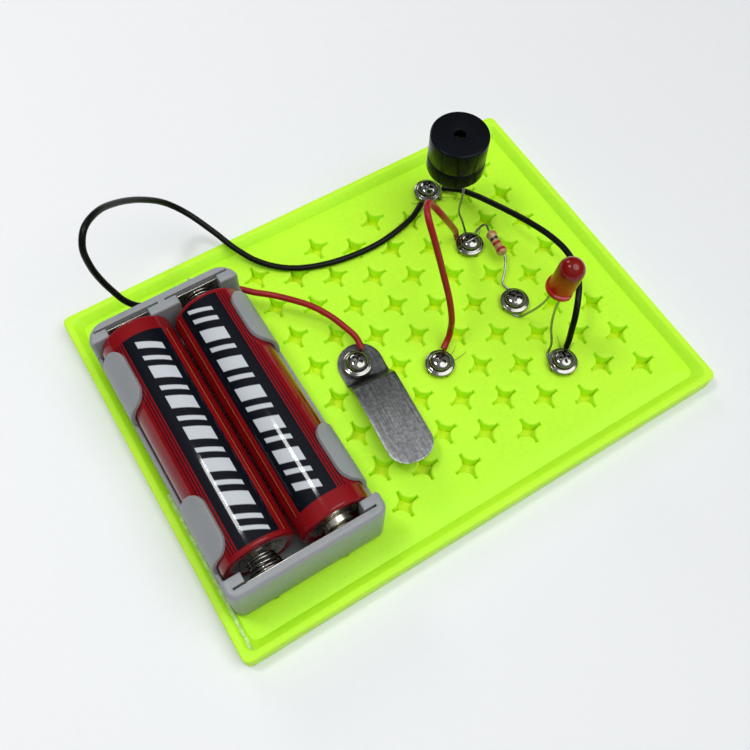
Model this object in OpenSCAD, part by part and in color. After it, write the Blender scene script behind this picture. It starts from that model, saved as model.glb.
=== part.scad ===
// Telegraph transmitter demonstration model. A battery box, a springy press key, a buzzer and a
// lamp are wired to screw terminals on a board full of star-shaped holes.
// Millimetres, +Z up, X along the board's long side. The board rests on z = 0, centred on the origin.

/* [Board] */
// Length of the board along X
board_l = 107; // [104:1:130]
// Width of the board along Y
board_w = 79; // [76:1:100]
// Thickness of the plate, from the table to its floor
plate_t = 3.1; // [2.8:0.1:5]
// Height of the rim above the floor
rim_h = 1.4; // [0.8:0.1:2]
// Width of the flat top of the rim
rim_top_w = 1.4; // [1:0.1:2]
// Width, in plan, of the sloped inner wall of the rim
rim_slope_w = 1.5; // [1.3:0.1:2]
// Radius of the board's outer corners
corner_r = 1.5; // [0.5:0.1:3]

/* [Star holes] */
// Distance between neighbouring star holes
star_pitch = 8.3; // [8:0.1:8.6]
// Number of columns of star holes
star_columns = 13; // [13:2:13]
// Number of star holes in the longer columns
star_rows = 8; // [8:2:8]
// Distance from a star's centre to the tip of an arm
star_reach = 2.75; // [2.6:0.05:3]
// Radius of the round lobes between the arms
star_lobe_r = 2.1; // [2:0.05:2.2]
// Width of an arm at its tip
star_tip_w = 0.4; // [0.3:0.05:0.6]
// Thickness of the web that closes each star hole underneath
web_t = 0.6; // [0.4:0.1:1]

/* [Cells] */
// Outer diameter of a cell, with its printed sleeve
cell_d = 14.1; // [13.6:0.1:14.5]
// Length of a cell's body, without its nub
cell_body_l = 49.2; // [48:0.1:49.5]
// Diameter of the positive nub
nub_d = 5.5; // [4.5:0.1:5.5]
// Length of the positive nub
nub_l = 1.2; // [1:0.1:1.5]
// Thickness of the printed sleeve
sleeve_t = 0.2; // [0.15:0.05:0.4]
// Width of the sleeve's fold over each end of the can
sleeve_fold_w = 1.6; // [1:0.1:2]
// Thickness of the seal washer under the positive cap
seal_t = 0.8; // [0.6:0.1:1.2]
// Thickness of the positive cap's flat rim
cap_t = 0.4; // [0.3:0.1:0.5]

/* [Battery holder] */
// Distance from the board's front edge to the holder's front face
holder_front_gap = 7.5; // [5:0.5:9]
// Thickness of the holder's side walls and snap tabs
holder_wall = 0.9; // [0.7:0.1:1.2]
// Thickness of the holder's floor
holder_floor_t = 1.2; // [0.8:0.1:2]
// Height of the end walls above the holder's underside
end_wall_h = 13.2; // [12:0.1:14]
// Thickness of an end wall outside its contact plate
end_wall_t = 1.7; // [1.4:0.1:2.5]
// Height of the side walls above the holder's underside
side_wall_h = 7.2; // [5:0.1:8]
// Depth of the posts that hold the contact plates in place
post_t = 1.9; // [1.2:0.1:1.9]
// Radius of the two back corners
holder_back_r = 4; // [2:0.5:4]
// Radius of the two front corners
holder_front_r = 2; // [1:0.5:3]
// Length of a snap tab along the cell
tab_l = 12.4; // [8:0.2:16]
// Distance from the middle of a snap tab to the nearer end of the holder
tab_inset = 13.6; // [11:0.2:18]
// Angle, above the horizontal, to which a snap tab curls over its cell
tab_angle = 60; // [45:1:65]
// Radius of a snap tab's two upper corners
tab_corner_r = 3; // [1:0.5:4]
// Thickness of the foam tape under the holder
tape_t = 0.8; // [0.5:0.1:1.2]
// Width of the strip of tape along the rim
tape_strip_w = 1.2; // [0.8:0.1:1.3]
// Length of the strip of tape along the rim
tape_strip_l = 31.5; // [20:0.5:50]
// Height of the tape strip's upper edge above the rim
tape_lip = 0.1; // [0:0.05:0.2]
// Distance from the holder's outer edge to the tape under it
tape_inset = 1.9; // [1:0.1:3]

/* [Contacts] */
// Thickness of the contact plates
contact_t = 0.4; // [0.3:0.05:0.5]
// Width of a contact plate for one cell
contact_w = 12.8; // [11:0.1:13]
// Height of the contact plates
contact_h = 10.8; // [9:0.1:11]
// Width of the window between two posts
window_w = 8.4; // [8:0.1:9]
// Height of the pressed bump that meets a cell's nub
bump_h = 0.8; // [0.5:0.1:1]
// Diameter of the bump at its root
bump_d = 6; // [4:0.1:7]
// Height of a solder lug
lug_h = 2.4; // [1.6:0.1:3]
// Distance that a solder lug stands out of the holder's back face
lug_out = 2.6; // [2.4:0.1:3.5]
// Distance from the holder's back face to the wire on a lug
lug_wire_out = 1.6; // [1.4:0.1:1.7]
// Height of the positive lug's middle above the board's floor
positive_lug_z = 4; // [3.5:0.5:5]
// Height of the negative lug's middle above the board's floor
negative_lug_z = 9; // [8:0.5:10]

/* [Springs] */
// Length of a spring between its plate and its cell
spring_l = 3.5; // [3.4:0.1:4]
// Diameter of the spring wire
spring_wire_d = 0.45; // [0.35:0.05:0.45]
// Radius of the coil at the plate
spring_plate_r = 3.3; // [3:0.1:3.6]
// Radius of the coil at the cell
spring_cell_r = 2.4; // [2.2:0.1:2.6]
// Number of turns in a spring
spring_turns = 3.5; // [2:0.5:3.5]

/* [Key] */
// Width of the springy strip
leaf_w = 9.2; // [8:0.1:10]
// Thickness of the springy strip
leaf_t = 0.4; // [0.3:0.05:0.5]
// Angle of the strip at rest, from -Y towards -X
leaf_angle = 5.5; // [0:0.5:8]
// Distance from the key screw back to the strip's rounded end
foot_back = 4.8; // [4.5:0.1:6]
// Distance from the key screw to the lower bend
lower_bend = 3.5; // [3.3:0.1:4]
// Distance from the key screw to the upper bend
upper_bend = 5.9; // [5.5:0.1:6.5]
// Distance from the key screw to the strip's tip
leaf_reach = 24.9; // [22:0.1:26]
// Sideways distance from the key screw to the strip's middle line
leaf_offset = 0.8; // [0:0.1:1]
// Height of the blade's underside at the upper bend, above the board's floor
blade_rise = 3.4; // [3.2:0.1:4]
// Upward slope of the blade at rest, in degrees
blade_slope = 4; // [4:0.5:6]
// Radius of the corners at the strip's tip
leaf_tip_r = 4.1; // [2:0.1:4.4]

/* [Screws] */
// Diameter of the screw's threaded shank, which bites into the lobes of a star hole
screw_d = 2.6; // [2.5:0.05:2.7]
// Diameter of the flange under the head
flange_d = 6; // [5.5:0.1:6.4]
// Thickness of the flange
flange_t = 0.8; // [0.5:0.1:1]
// Diameter of the domed head
head_d = 4.2; // [3.8:0.1:4.6]
// Height of the domed head above its flange
head_h = 1.5; // [1.2:0.1:1.6]
// Straight height of the head's side, below its dome
head_side_h = 0.7; // [0.4:0.1:0.9]
// Length of each slot of the cross recess
recess_l = 2.3; // [1.8:0.1:2.6]
// Width of each slot of the cross recess
recess_w = 0.55; // [0.4:0.05:0.7]
// Depth of the cross recess
recess_depth = 0.9; // [0.6:0.1:1]
// Distance from a screw's tip to the web under it
tip_gap = 0.2; // [0.1:0.1:1]

/* [Buzzer] */
// Diameter of the buzzer's case
buzzer_d = 12; // [11.5:0.1:12.5]
// Height of the buzzer's case
buzzer_h = 9.5; // [9:0.1:10]
// Height of the buzzer's underside above the board's floor
buzzer_z = 14.2; // [12:0.2:16]
// Thickness of the buzzer's side wall and top
buzzer_wall = 0.8; // [0.6:0.1:1]
// Diameter of the sound hole
sound_hole_d = 2.4; // [1.5:0.1:3]
// Distance between the buzzer's two pins
pin_pitch = 7.6; // [7:0.1:7.6]
// Width of the ledge that the diaphragm seats on
ledge_w = 0.6; // [0.4:0.1:0.8]
// Height of the air space above the diaphragm
air_h = 1.5; // [1:0.1:2]
// Thickness of the diaphragm
diaphragm_t = 0.15; // [0.1:0.05:0.3]
// Thickness of the buzzer's base disc
buzzer_base_t = 1.2; // [0.8:0.1:1.5]
// Recess of the base disc into the case
base_recess = 0.3; // [0.2:0.1:0.5]
// Radial thickness of the ring magnet
magnet_w = 1.4; // [1:0.1:1.6]
// Outer diameter of the coil
coil_d = 6; // [5:0.1:6.4]
// Diameter of the coil's iron core
core_d = 2; // [1.5:0.1:2.4]
// Gap between the core and the diaphragm
core_gap = 0.4; // [0.3:0.1:0.6]
// Depth of the seam groove round the case
seam_depth = 0.15; // [0.1:0.05:0.3]
// Width of the seam groove
seam_w = 0.25; // [0.15:0.05:0.4]
// Height of the seam above the buzzer's underside
seam_z = 3.6; // [3:0.1:5]

/* [Lamp] */
// Diameter of the lamp's lens
lens_d = 5; // [4.8:0.1:5.2]
// Diameter of the lens flange
lens_flange_d = 5.8; // [5.6:0.1:6]
// Height of the lens flange
lens_flange_h = 1; // [0.8:0.1:1.2]
// Full height of the lens
lens_h = 8.7; // [8.2:0.1:9]
// Height of the lens flange's underside above the board's floor
lens_z = 21; // [19:0.5:23]
// Turn of the lamp about its own axis, in degrees
lamp_turn = 118; // [110:1:126]
// Distance between the lamp's two leads
lead_pitch = 2.54; // [2.3:0.02:2.6]
// Height of the cathode cup inside the lens
cup_h = 2.4; // [2:0.1:2.8]
// Side of the light-emitting chip
chip_w = 0.35; // [0.25:0.05:0.4]

/* [Resistor] */
// Length of the resistor's body
resistor_l = 6.2; // [5.8:0.1:6.5]
// Diameter of the resistor's two end caps
resistor_end_d = 2.3; // [2.1:0.1:2.5]
// Diameter of the resistor's waist
resistor_waist_d = 1.9; // [1.6:0.1:2]
// Length of each end cap
resistor_end_l = 1.5; // [1.2:0.1:1.8]
// Height of the resistor's axis above the board's floor
resistor_z = 2.8; // [2:0.1:3.4]
// Length of each lead that is set into the resistor's body
resistor_lead_in = 0.6; // [0.4:0.1:1]

/* [Wires] */
// Outer diameter of the insulated wires
wire_d = 1.3; // [1.1:0.05:1.4]
// Diameter of the component leads and of the stripped, twisted wire ends
lead_d = 0.5; // [0.4:0.05:0.55]
// Length of bare conductor held inside each wire's insulation
bare_in = 0.8; // [0.5:0.1:1.5]

/* [Fits] */
// Gap between a cell and the side wall or tab beside it
cell_clear = 0.15; // [0.1:0.05:0.3]
// Gap between the two cells
cell_gap = 0.3; // [0.3:0.1:0.8]
// Gap under a cell, and between its nub and the bump
cell_play = 0.1; // [0.05:0.05:0.2]
// Gap between a contact plate and its slot
slot_clear = 0.1; // [0.05:0.05:0.2]
// Gap between a screw's shank or flange and a conductor beside it
clamp_gap = 0.3; // [0.2:0.05:0.4]
// Radial gap between the key screw's shank and the strip's hole
pivot_clear = 0.05; // [0.03:0.01:0.1]
// Gap between parts that lie close together but don't touch
seat_clear = 0.03; // [0.02:0.01:0.05]

/* [Hidden] */
$fn = 64;

// Heights above the table
floor_z = plate_t;
rim_z = floor_z + rim_h;

// The lattice of star holes: columns step along X, and every second column is half a pitch along
column_step = star_pitch * sqrt(3) / 2;
star_lobe_at = star_lobe_r + star_tip_w / 2;
function lattice(column, row) = [column * column_step, row * star_pitch];

// Star holes that hold a screw
key_at = lattice(-1, 0);
contact_at = lattice(1, -1);
minus_at = lattice(4, 3.5);
junction_at = lattice(4, 1.5);
led_plus_at = lattice(4, -0.5);
led_minus_at = lattice(4, -2.5);

// Cells and battery holder. Heights from here on are above the board's floor
cell_r = cell_d / 2;
cell_l = cell_body_l + nub_l;
cell_step = cell_d + cell_gap;
holder_w = 2 * cell_d + cell_gap + 2 * (cell_clear + holder_wall);
holder_l = 2 * (end_wall_t + contact_t) + cell_l + bump_h + spring_l + cell_play;
holder_x0 = -board_l / 2 + rim_top_w + tape_strip_w + cell_play;
holder_y0 = -board_w / 2 + holder_front_gap;
holder_y1 = holder_y0 + holder_l;
left_x = holder_x0 + holder_wall + cell_clear + cell_r;
right_x = left_x + cell_step;
cell_z = tape_t + holder_floor_t + cell_play + cell_r;
plate_bottom = tape_t + holder_floor_t;
front_plate_y = holder_y0 + end_wall_t + contact_t;
back_plate_y = holder_y1 - end_wall_t - contact_t;
end_block_l = end_wall_t + contact_t + post_t;
can_r = cell_r - sleeve_t - seat_clear;
cap_r = can_r - sleeve_fold_w - seat_clear;
seal_top = cell_body_l - sleeve_t;
left_nub_y = back_plate_y - bump_h - cell_play / 2;
right_nub_y = front_plate_y + bump_h + cell_play / 2;
spring_free_l = spring_l - cell_play / 2;

// Screws. Bare conductors are clamped between each flange and the floor, beside the shank
clamp_z = lead_d / 2 + seat_clear;
flange_z = lead_d + 2 * seat_clear;
key_clamp_z = leaf_t + lead_d / 2 + 2 * seat_clear;
key_flange_z = leaf_t + lead_d + 3 * seat_clear;
clamp_side = screw_d / 2 + lead_d / 2 + clamp_gap;
dome_r = ((head_d / 2) ^ 2 + (head_h - head_side_h) ^ 2) / (2 * (head_h - head_side_h));
screw_r = screw_d / 2;

// Key. The riser keeps the strip's thickness, and its upper end leans as the blade's root does
riser_angle = atan2(blade_rise, upper_bend - lower_bend);
bend_cut = leaf_t * tan(riser_angle / 2);
root_lean = leaf_t * tan(blade_slope) + seat_clear;

// Buzzer, lamp and resistor, placed in plan from the screws that hold their leads
buzzer_from_junction = [1.85, 10.95];
lamp_from_led_plus = [-1.35, -10.25];
resistor_from_middle = [4.2, 4.65];
resistor_lean = [-0.12, -1, 0];
buzzer_at = junction_at + buzzer_from_junction;
buzzer_minus_pin = buzzer_at + [0, pin_pitch / 2];
buzzer_plus_pin = buzzer_at - [0, pin_pitch / 2];
case_in_r = buzzer_d / 2 - buzzer_wall;
ledge_z = buzzer_h - buzzer_wall - air_h;
base_top = base_recess + buzzer_base_t;
lamp_at = led_plus_at + lamp_from_led_plus;
anode_at = lamp_at + lead_pitch / 2 * [cos(lamp_turn), sin(lamp_turn)];
cathode_at = lamp_at - lead_pitch / 2 * [cos(lamp_turn), sin(lamp_turn)];
resistor_mid = (junction_at + led_plus_at) / 2 + resistor_from_middle;
resistor_at = [resistor_mid.x, resistor_mid.y, resistor_z];
resistor_dir = resistor_lean / norm(resistor_lean);
resistor_end_1 = resistor_at - resistor_dir * resistor_l / 2;
resistor_end_2 = resistor_at + resistor_dir * resistor_l / 2;

// A run of bare conductor under a flange, on one side (-1 or 1) of a screw, from y1 to y2
function clamped(screw, side, y1, y2, z) = [
    [screw.x + side * clamp_side, screw.y + y1, z],
    [screw.x + side * clamp_side, screw.y + y2, z]
];
// The same, but across the screw, behind it (1) or in front of it (-1)
function clamped_across(screw, side, x1, x2, z) = [
    [screw.x + x1, screw.y + side * clamp_side, z],
    [screw.x + x2, screw.y + side * clamp_side, z]
];
// A point in plan, moved by dx and dy and lifted to z
function lift(at, dx, dy, z) = [at.x + dx, at.y + dy, z];

// Bent leads of the components, from the body to the screw
buzzer_plus_route = concat(
    [
        lift(buzzer_plus_pin, 0, 0, buzzer_z + base_recess + buzzer_base_t / 2),
        lift(buzzer_plus_pin, 0, 0, buzzer_z - 1),
        lift(buzzer_plus_pin, -1.3, -1.5, buzzer_z - 3.6),
        lift(buzzer_plus_pin, -2.1, -2.1, buzzer_z - 7.2),
        lift(junction_at, 0.7, 4.5, 3.6),
        lift(junction_at, 1.3, 3.3, clamp_z)
    ],
    clamped_across(junction_at, 1, 1, -0.8, clamp_z)
);
buzzer_minus_route = concat(
    [
        lift(buzzer_minus_pin, 0, 0, buzzer_z + base_recess + buzzer_base_t / 2),
        lift(buzzer_minus_pin, 0, 0, buzzer_z - 1),
        lift(buzzer_minus_pin, -0.3, -0.4, buzzer_z - 4),
        lift(minus_at, 1.1, -2.8, 5),
        lift(minus_at, 1.5, -3.1, clamp_z)
    ],
    clamped_across(minus_at, -1, 1, -0.9, clamp_z)
);
anode_route = concat(
    [
        lift(anode_at, 0, 0, lens_z + cup_h),
        lift(anode_at, 0, 0, lens_z - 1),
        lift(anode_at, -0.3, 0, lens_z - 4),
        lift(led_plus_at, -1.2, -7, 9.5),
        lift(led_plus_at, -0.4, -4.6, 3),
        lift(led_plus_at, -0.9, -3.4, clamp_z)
    ],
    clamped(led_plus_at, -1, -2.3, 1.2, clamp_z)
);
cathode_route = concat(
    [
        lift(cathode_at, 0, 0, lens_z + cup_h),
        lift(cathode_at, 0, 0, lens_z - 1),
        lift(cathode_at, -0.5, 0.4, lens_z - 4),
        lift(led_minus_at, -0.7, 5.4, 8),
        lift(led_minus_at, -0.3, 3.9, 2),
        lift(led_minus_at, -1.3, 3.2, clamp_z)
    ],
    clamped(led_minus_at, -1, 2, -1.4, clamp_z)
);
resistor_route_1 = concat(
    [resistor_end_1 + resistor_dir * resistor_lead_in, resistor_end_1 - resistor_dir * lead_d],
    [
        lift(junction_at, 5, 1.7, 2.5),
        lift(junction_at, 4.2, 2.2, 1.5),
        lift(junction_at, 2.8, 2, clamp_z)
    ],
    clamped(junction_at, 1, 1, -1.4, clamp_z)
);
resistor_route_2 = concat(
    [resistor_end_2 - resistor_dir * resistor_lead_in, resistor_end_2 + resistor_dir * lead_d],
    [
        lift(led_plus_at, 3.1, 8, 2.2),
        lift(led_plus_at, 1.7, 6.3, 1.4),
        lift(led_plus_at, 0.5, 5, 0.8),
        lift(led_plus_at, 0.8, 3.6, clamp_z)
    ],
    clamped(led_plus_at, 1, 1.8, -1.4, clamp_z)
);

// Routes of the four wires, above the board's floor. Each end is placed from its lug or screw
lug_wire_y = holder_y1 + lug_wire_out;
black_battery_route = concat(
    [
        [right_x - contact_t / 2, lug_wire_y, negative_lug_z],
        [right_x - 2.2, lug_wire_y, negative_lug_z]
    ],
    [
        [-33.5, 28.6, 8.9], [-36.6, 28.6, 8.8], [-39.2, 29.1, 9.5], [-41.1, 29.9, 11.7],
        [-42.4, 30.7, 15.2], [-43.5, 31.5, 19.2], [-44.1, 32.2, 23.4], [-43.9, 33.5, 27],
        [-42.2, 35.4, 29.2], [-38.8, 38.8, 27.8], [-33.8, 43.6, 22], [-28.4, 47.2, 15.2],
        [-24.2, 48.2, 10.2], [-20.9, 46.2, 6.8], [-17.7, 40.9, 4.2], [-15.5, 36, 2.7],
        [-12.6, 31.4, 1.5], [-7.6, 27, 0.8], [0.4, 23.8, 0.7], [11, 22.7, 0.7], [18, 23.7, 0.7]
    ],
    [lift(minus_at, -6.7, -4.2, 0.8), lift(minus_at, -3.7, -2.7, 0.8)]
);
red_battery_route = concat(
    [
        [left_x + contact_t / 2, lug_wire_y, positive_lug_z],
        [left_x + 2.7, lug_wire_y, positive_lug_z]
    ],
    [
        [-37, 28.6, 4], [-33, 28.6, 4], [-29, 28.7, 4.1], [-25.2, 28.5, 4.3], [-22, 27.4, 4.6],
        [-19.7, 25.3, 4.8], [-17.6, 22.9, 5.1], [-15.2, 20.6, 5.4], [-12.3, 17.6, 5.4],
        [-9.4, 14.4, 5], [-7.1, 10.9, 4.2], [-5.6, 7.6, 3.3]
    ],
    [lift(key_at, 2.6, 4.9, 2.3), lift(key_at, 2.9, 2.7, 1.6)]
);
red_jumper_route = concat(
    [lift(contact_at, 2.8, 2.8, 1), lift(contact_at, 3.74, 3.2, 1.5)],
    [
        [11.7, -4.6, 2.3], [12.3, -4, 4], [12.2, -3.9, 7.4], [12.2, -2.3, 12.2],
        [12, 1, 18.6], [11.3, 4, 25.9], [11.5, 6.7, 28.9], [12.5, 8.7, 29.1],
        [13.8, 9.9, 28.2], [15.1, 10, 26.2], [16.5, 9.1, 23.8], [20, 10.2, 17],
        [23.2, 11.8, 10.6]
    ],
    [lift(junction_at, -3.4, 1.6, 6), lift(junction_at, -2, 2.9, 3.2), lift(junction_at, -1.6, 3.5, 1.8)]
);
black_jumper_route = concat(
    [lift(led_minus_at, 2.9, 2.5, 1), lift(led_minus_at, 3.3, 2.8, 2.4)],
    [
        [32.6, -17.2, 4.8], [33.7, -16, 7.2], [35.6, -13.8, 9], [37.8, -11, 9.7],
        [39.5, -7.4, 10], [40.2, -3.4, 10], [39.9, 1.3, 9.5], [38.9, 6.5, 8.5],
        [37.8, 11.7, 7], [36.8, 17, 5], [36, 21.4, 3.1]
    ],
    [lift(minus_at, 6.1, -4, 1.6), lift(minus_at, 3.8, -1, 0.8)]
);

// A bare wire end: from inside the insulation at the end of a route, down beside the screw's
// flange, then along one side of its shank under the flange, from y1 to y2
function reversed(list) = [for (i = [len(list) - 1 : -1 : 0]) list[i]];
function plan(p) = [p.x, p.y];
function beside_flange(screw, end, z) = let (
        out = unit(plan(end) - screw) * (flange_d / 2 + lead_d / 2 + clamp_gap)
    ) [screw.x + out.x, screw.y + out.y, z];
function bare_end(route, screw, side, y1, y2, z) = let (
        end = route[len(route) - 1],
        before = route[len(route) - 2]
    ) concat(
        [end + unit(before - end) * bare_in, end, beside_flange(screw, end, z)],
        clamped(screw, side, y1, y2, z)
    );
bare_ends = [
    bare_end(black_battery_route, minus_at, -1, -1.4, 1.4, clamp_z),
    bare_end(black_jumper_route, minus_at, 1, -0.6, 1.6, clamp_z),
    bare_end(red_battery_route, key_at, 1, 1.3, -1.2, key_clamp_z),
    bare_end(reversed(red_jumper_route), contact_at, 1, 1.2, -1.4, clamp_z),
    bare_end(red_jumper_route, junction_at, -1, 1.7, -1.6, clamp_z),
    bare_end(reversed(black_jumper_route), led_minus_at, 1, 1.3, -1.4, clamp_z)
];

// Conical spring along +Y from the plate, with a short straight run at each end
spring_steps = 8 * spring_turns;
coil_l = spring_free_l - 2 * spring_wire_d;
function coil_point(i) = let (
        part = i / spring_steps,
        angle = 360 * spring_turns * part,
        r = spring_plate_r + (spring_cell_r - spring_plate_r) * part
    ) [r * cos(angle), spring_wire_d + coil_l * part, r * sin(angle)];
spring_path = concat(
    [[spring_plate_r, 0, 0]],
    [for (i = [0 : spring_steps]) coil_point(i)],
    [coil_point(spring_steps) + [0, spring_wire_d, 0]]
);
turn_gaps = [
    for (i = [0 : spring_steps - 8])
        for (j = [i + 6 : min(i + 10, spring_steps)])
            norm(coil_point(i) - coil_point(j)) - spring_wire_d
];
echo(least_gap_between_spring_turns = min(turn_gaps));

// A tube swept along points: each ring lies square to the mean of its two neighbouring stretches
function unit(v) = v / norm(v);
function heading(p, i) = unit(
    (i > 0 ? unit(p[i] - p[i - 1]) : [0, 0, 0])
    + (i < len(p) - 1 ? unit(p[i + 1] - p[i]) : [0, 0, 0])
);
function sideways(p, n, i = 0) = i == len(p) ? [] : let (
        t = heading(p, i),
        m = unit(n - (n * t) * t)
    ) concat([m], sideways(p, m, i + 1));
function first_side(p) = abs(heading(p, 0).z) < 0.8 ? [0, 0, 1] : [1, 0, 0];

module tube(points, d, sides = 8) {
    last = len(points) - 1;
    side = sideways(points, first_side(points));
    rings = [
        for (i = [0 : last])
            let (t = heading(points, i), u = side[i], v = cross(t, u))
                for (k = [0 : sides - 1])
                    points[i] + d / 2 * (cos(360 * k / sides) * u + sin(360 * k / sides) * v)
    ];
    walls = [
        for (i = [0 : last - 1])
            for (k = [0 : sides - 1])
                let (a = i * sides + k, b = i * sides + (k + 1) % sides)
                    each [[a, a + sides, b], [b, a + sides, b + sides]]
    ];
    first_cap = [for (k = [1 : sides - 2]) [0, k, k + 1]];
    last_cap = [for (k = [1 : sides - 2]) [0, k + 1, k] + [1, 1, 1] * last * sides];
    polyhedron(rings, concat(walls, first_cap, last_cap));
}

// A rectangle from the origin with round corners, one radius at the front and one at the back
module round_rect(w, l, front_r, back_r) {
    translate([front_r, 0])
        square([w - 2 * front_r, front_r]);
    translate([0, front_r])
        square([w, l - front_r - back_r]);
    translate([back_r, l - back_r])
        square([w - 2 * back_r, back_r]);
    for (x = [front_r, w - front_r])
        translate([x, front_r])
            circle(front_r);
    for (x = [back_r, w - back_r])
        translate([x, l - back_r])
            circle(back_r);
}

// Places its children on the board's floor
module on_floor() {
    translate([0, 0, floor_z])
        children();
}

// Board

module star() {
    difference() {
        square(2 * star_reach, center = true);
        for (x = [-1, 1], y = [-1, 1])
            translate([x, y] * star_lobe_at)
                circle(star_lobe_r);
    }
}

module star_field() {
    half_columns = (star_columns - 1) / 2;
    for (column = [-half_columns : half_columns]) {
        count = star_rows - abs(column) % 2;
        for (i = [0 : count - 1])
            translate(lattice(column, i - (count - 1) / 2))
                star();
    }
}

// Section of the recess inside the rim, across the given width. Its walls slope on above the rim
module recess_section(width) {
    foot = width / 2 - rim_slope_w;
    mouth = width / 2 + rim_slope_w;
    polygon([[-foot, 0], [foot, 0], [mouth, 2 * rim_h], [-mouth, 2 * rim_h]]);
}

module recess() {
    translate([0, 0, floor_z])
        intersection() {
            rotate([90, 0, 0])
                linear_extrude(board_w, center = true)
                    recess_section(board_l - 2 * rim_top_w);
            rotate([90, 0, 90])
                linear_extrude(board_l, center = true)
                    recess_section(board_w - 2 * rim_top_w);
        }
}

module base_board() {
    color("greenyellow")
        difference() {
            translate([-board_l / 2, -board_w / 2, 0])
                linear_extrude(rim_z)
                    round_rect(board_l, board_w, corner_r, corner_r);
            recess();
            translate([0, 0, web_t])
                linear_extrude(rim_z)
                    star_field();
        }
}

// Battery holder

module mounting_tape() {
    strip_x = -board_l / 2 + rim_top_w;
    strip_foot = rim_h * (1 - tape_strip_w / rim_slope_w);
    color("honeydew")
        on_floor() {
            translate([holder_x0 + tape_inset, holder_y0 + tape_inset, 0])
                cube([holder_w - 2 * tape_inset, holder_l - 2 * tape_inset, tape_t]);
            translate([strip_x, -board_w / 2 + rim_top_w + rim_slope_w, 0])
                rotate([90, 0, 0])
                    mirror([0, 0, 1])
                        linear_extrude(tape_strip_l)
                            polygon([
                                [0, rim_h], [tape_strip_w, strip_foot],
                                [tape_strip_w, rim_h], [0, rim_h + tape_lip]
                            ]);
        }
}

module holder_outline() {
    translate([holder_x0, holder_y0])
        round_rect(holder_w, holder_l, holder_front_r, holder_back_r);
}

// A slot for a contact plate, from x0 to x1, with the plate's inner face at y
module plate_slot(x0, x1, y) {
    translate([x0 - slot_clear, y, holder_floor_t])
        cube([x1 - x0 + 2 * slot_clear, contact_t, end_wall_h]);
}

module lug_notch(x, z) {
    translate([x - contact_t / 2 - slot_clear, back_plate_y, z - tape_t - lug_h / 2 - slot_clear])
        cube([contact_t + 2 * slot_clear, holder_l, lug_h + 2 * slot_clear]);
}

module battery_holder() {
    half_plate = contact_w / 2;
    inner_w = holder_w - 2 * holder_wall;
    color("gainsboro")
        translate([0, 0, floor_z + tape_t])
            difference() {
                linear_extrude(end_wall_h)
                    holder_outline();
                // The bay for the cells, between the end blocks
                translate([holder_x0 + holder_wall, holder_y0 + end_block_l, holder_floor_t])
                    cube([inner_w, holder_l - 2 * end_block_l, end_wall_h]);
                // The side walls stop lower than the end walls
                translate([holder_x0 - 1, holder_y0 + end_block_l, side_wall_h])
                    cube([holder_w + 2, holder_l - 2 * end_block_l, end_wall_h]);
                // Windows from the bay to the contact plates: one for each cell at the back, and a
                // wide one at the front, where a single plate serves both cells
                for (x = [left_x, right_x])
                    translate([x - window_w / 2, holder_y0 + end_block_l, holder_floor_t])
                        cube([window_w, back_plate_y - holder_y0 - end_block_l, end_wall_h]);
                translate([left_x - window_w / 2, front_plate_y, holder_floor_t])
                    cube([cell_step + window_w, post_t + 1, end_wall_h]);
                plate_slot(left_x - half_plate, left_x + half_plate, back_plate_y);
                plate_slot(right_x - half_plate, right_x + half_plate, back_plate_y);
                plate_slot(left_x - half_plate, right_x + half_plate, front_plate_y - contact_t);
                lug_notch(left_x, positive_lug_z);
                lug_notch(right_x, negative_lug_z);
            }
}

// Two tabs that rise from a side wall and curl over a cell; side is -1 on the left, 1 on the right
module snap_tabs(x, side) {
    in_r = cell_r + cell_clear;
    out_r = in_r + holder_wall;
    root = tape_t + side_wall_h - cell_z;
    far = 2 * out_r;
    tab_h = out_r * sin(tab_angle) - root;
    color("gainsboro")
        on_floor()
            for (y = [holder_y0 + tab_inset, holder_y1 - tab_inset])
                translate([x, y, cell_z])
                    intersection() {
                        rotate([90, 0, 0])
                            linear_extrude(tab_l, center = true)
                                intersection() {
                                    difference() {
                                        circle(out_r);
                                        circle(in_r);
                                    }
                                    polygon([
                                        [0, root], [side * far, root],
                                        [side * far, far * tan(tab_angle)], [0, 0]
                                    ]);
                                }
                        // Outline of the tab from the side, with round upper corners
                        rotate([90, 0, 90])
                            linear_extrude(2 * far, center = true)
                                translate([-tab_l / 2, root - tab_corner_r])
                                    round_rect(tab_l, tab_h + tab_corner_r, holder_wall, tab_corner_r);
                    }
}

module left_snap_tabs() {
    snap_tabs(left_x, -1);
}

module right_snap_tabs() {
    snap_tabs(right_x, 1);
}

// Cells. Each is drawn along +Y from its flat end, then set in place

module place_left_cell() {
    translate([left_x, left_nub_y - cell_l, floor_z + cell_z])
        rotate([-90, 0, 0])
            children();
}

module place_right_cell() {
    translate([right_x, right_nub_y + cell_l, floor_z + cell_z])
        rotate([90, 0, 0])
            children();
}

module cell_can() {
    color("silver")
        translate([0, 0, sleeve_t])
            cylinder(r = can_r, h = cell_body_l - 2 * sleeve_t - seal_t);
    color("silver")
        cylinder(r = cap_r, h = sleeve_t);
}

module cell_sleeve() {
    color("firebrick")
        difference() {
            cylinder(r = cell_r, h = cell_body_l);
            translate([0, 0, sleeve_t])
                cylinder(r = cell_r - sleeve_t, h = cell_body_l - 2 * sleeve_t);
            translate([0, 0, -1])
                cylinder(r = can_r - sleeve_fold_w, h = cell_body_l + 2);
        }
}

module cell_seal() {
    color("dimgray")
        translate([0, 0, seal_top - seal_t])
            difference() {
                cylinder(r = can_r, h = seal_t);
                translate([0, 0, seal_t - cap_t])
                    cylinder(r = cap_r + seat_clear, h = seal_t);
            }
}

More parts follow.
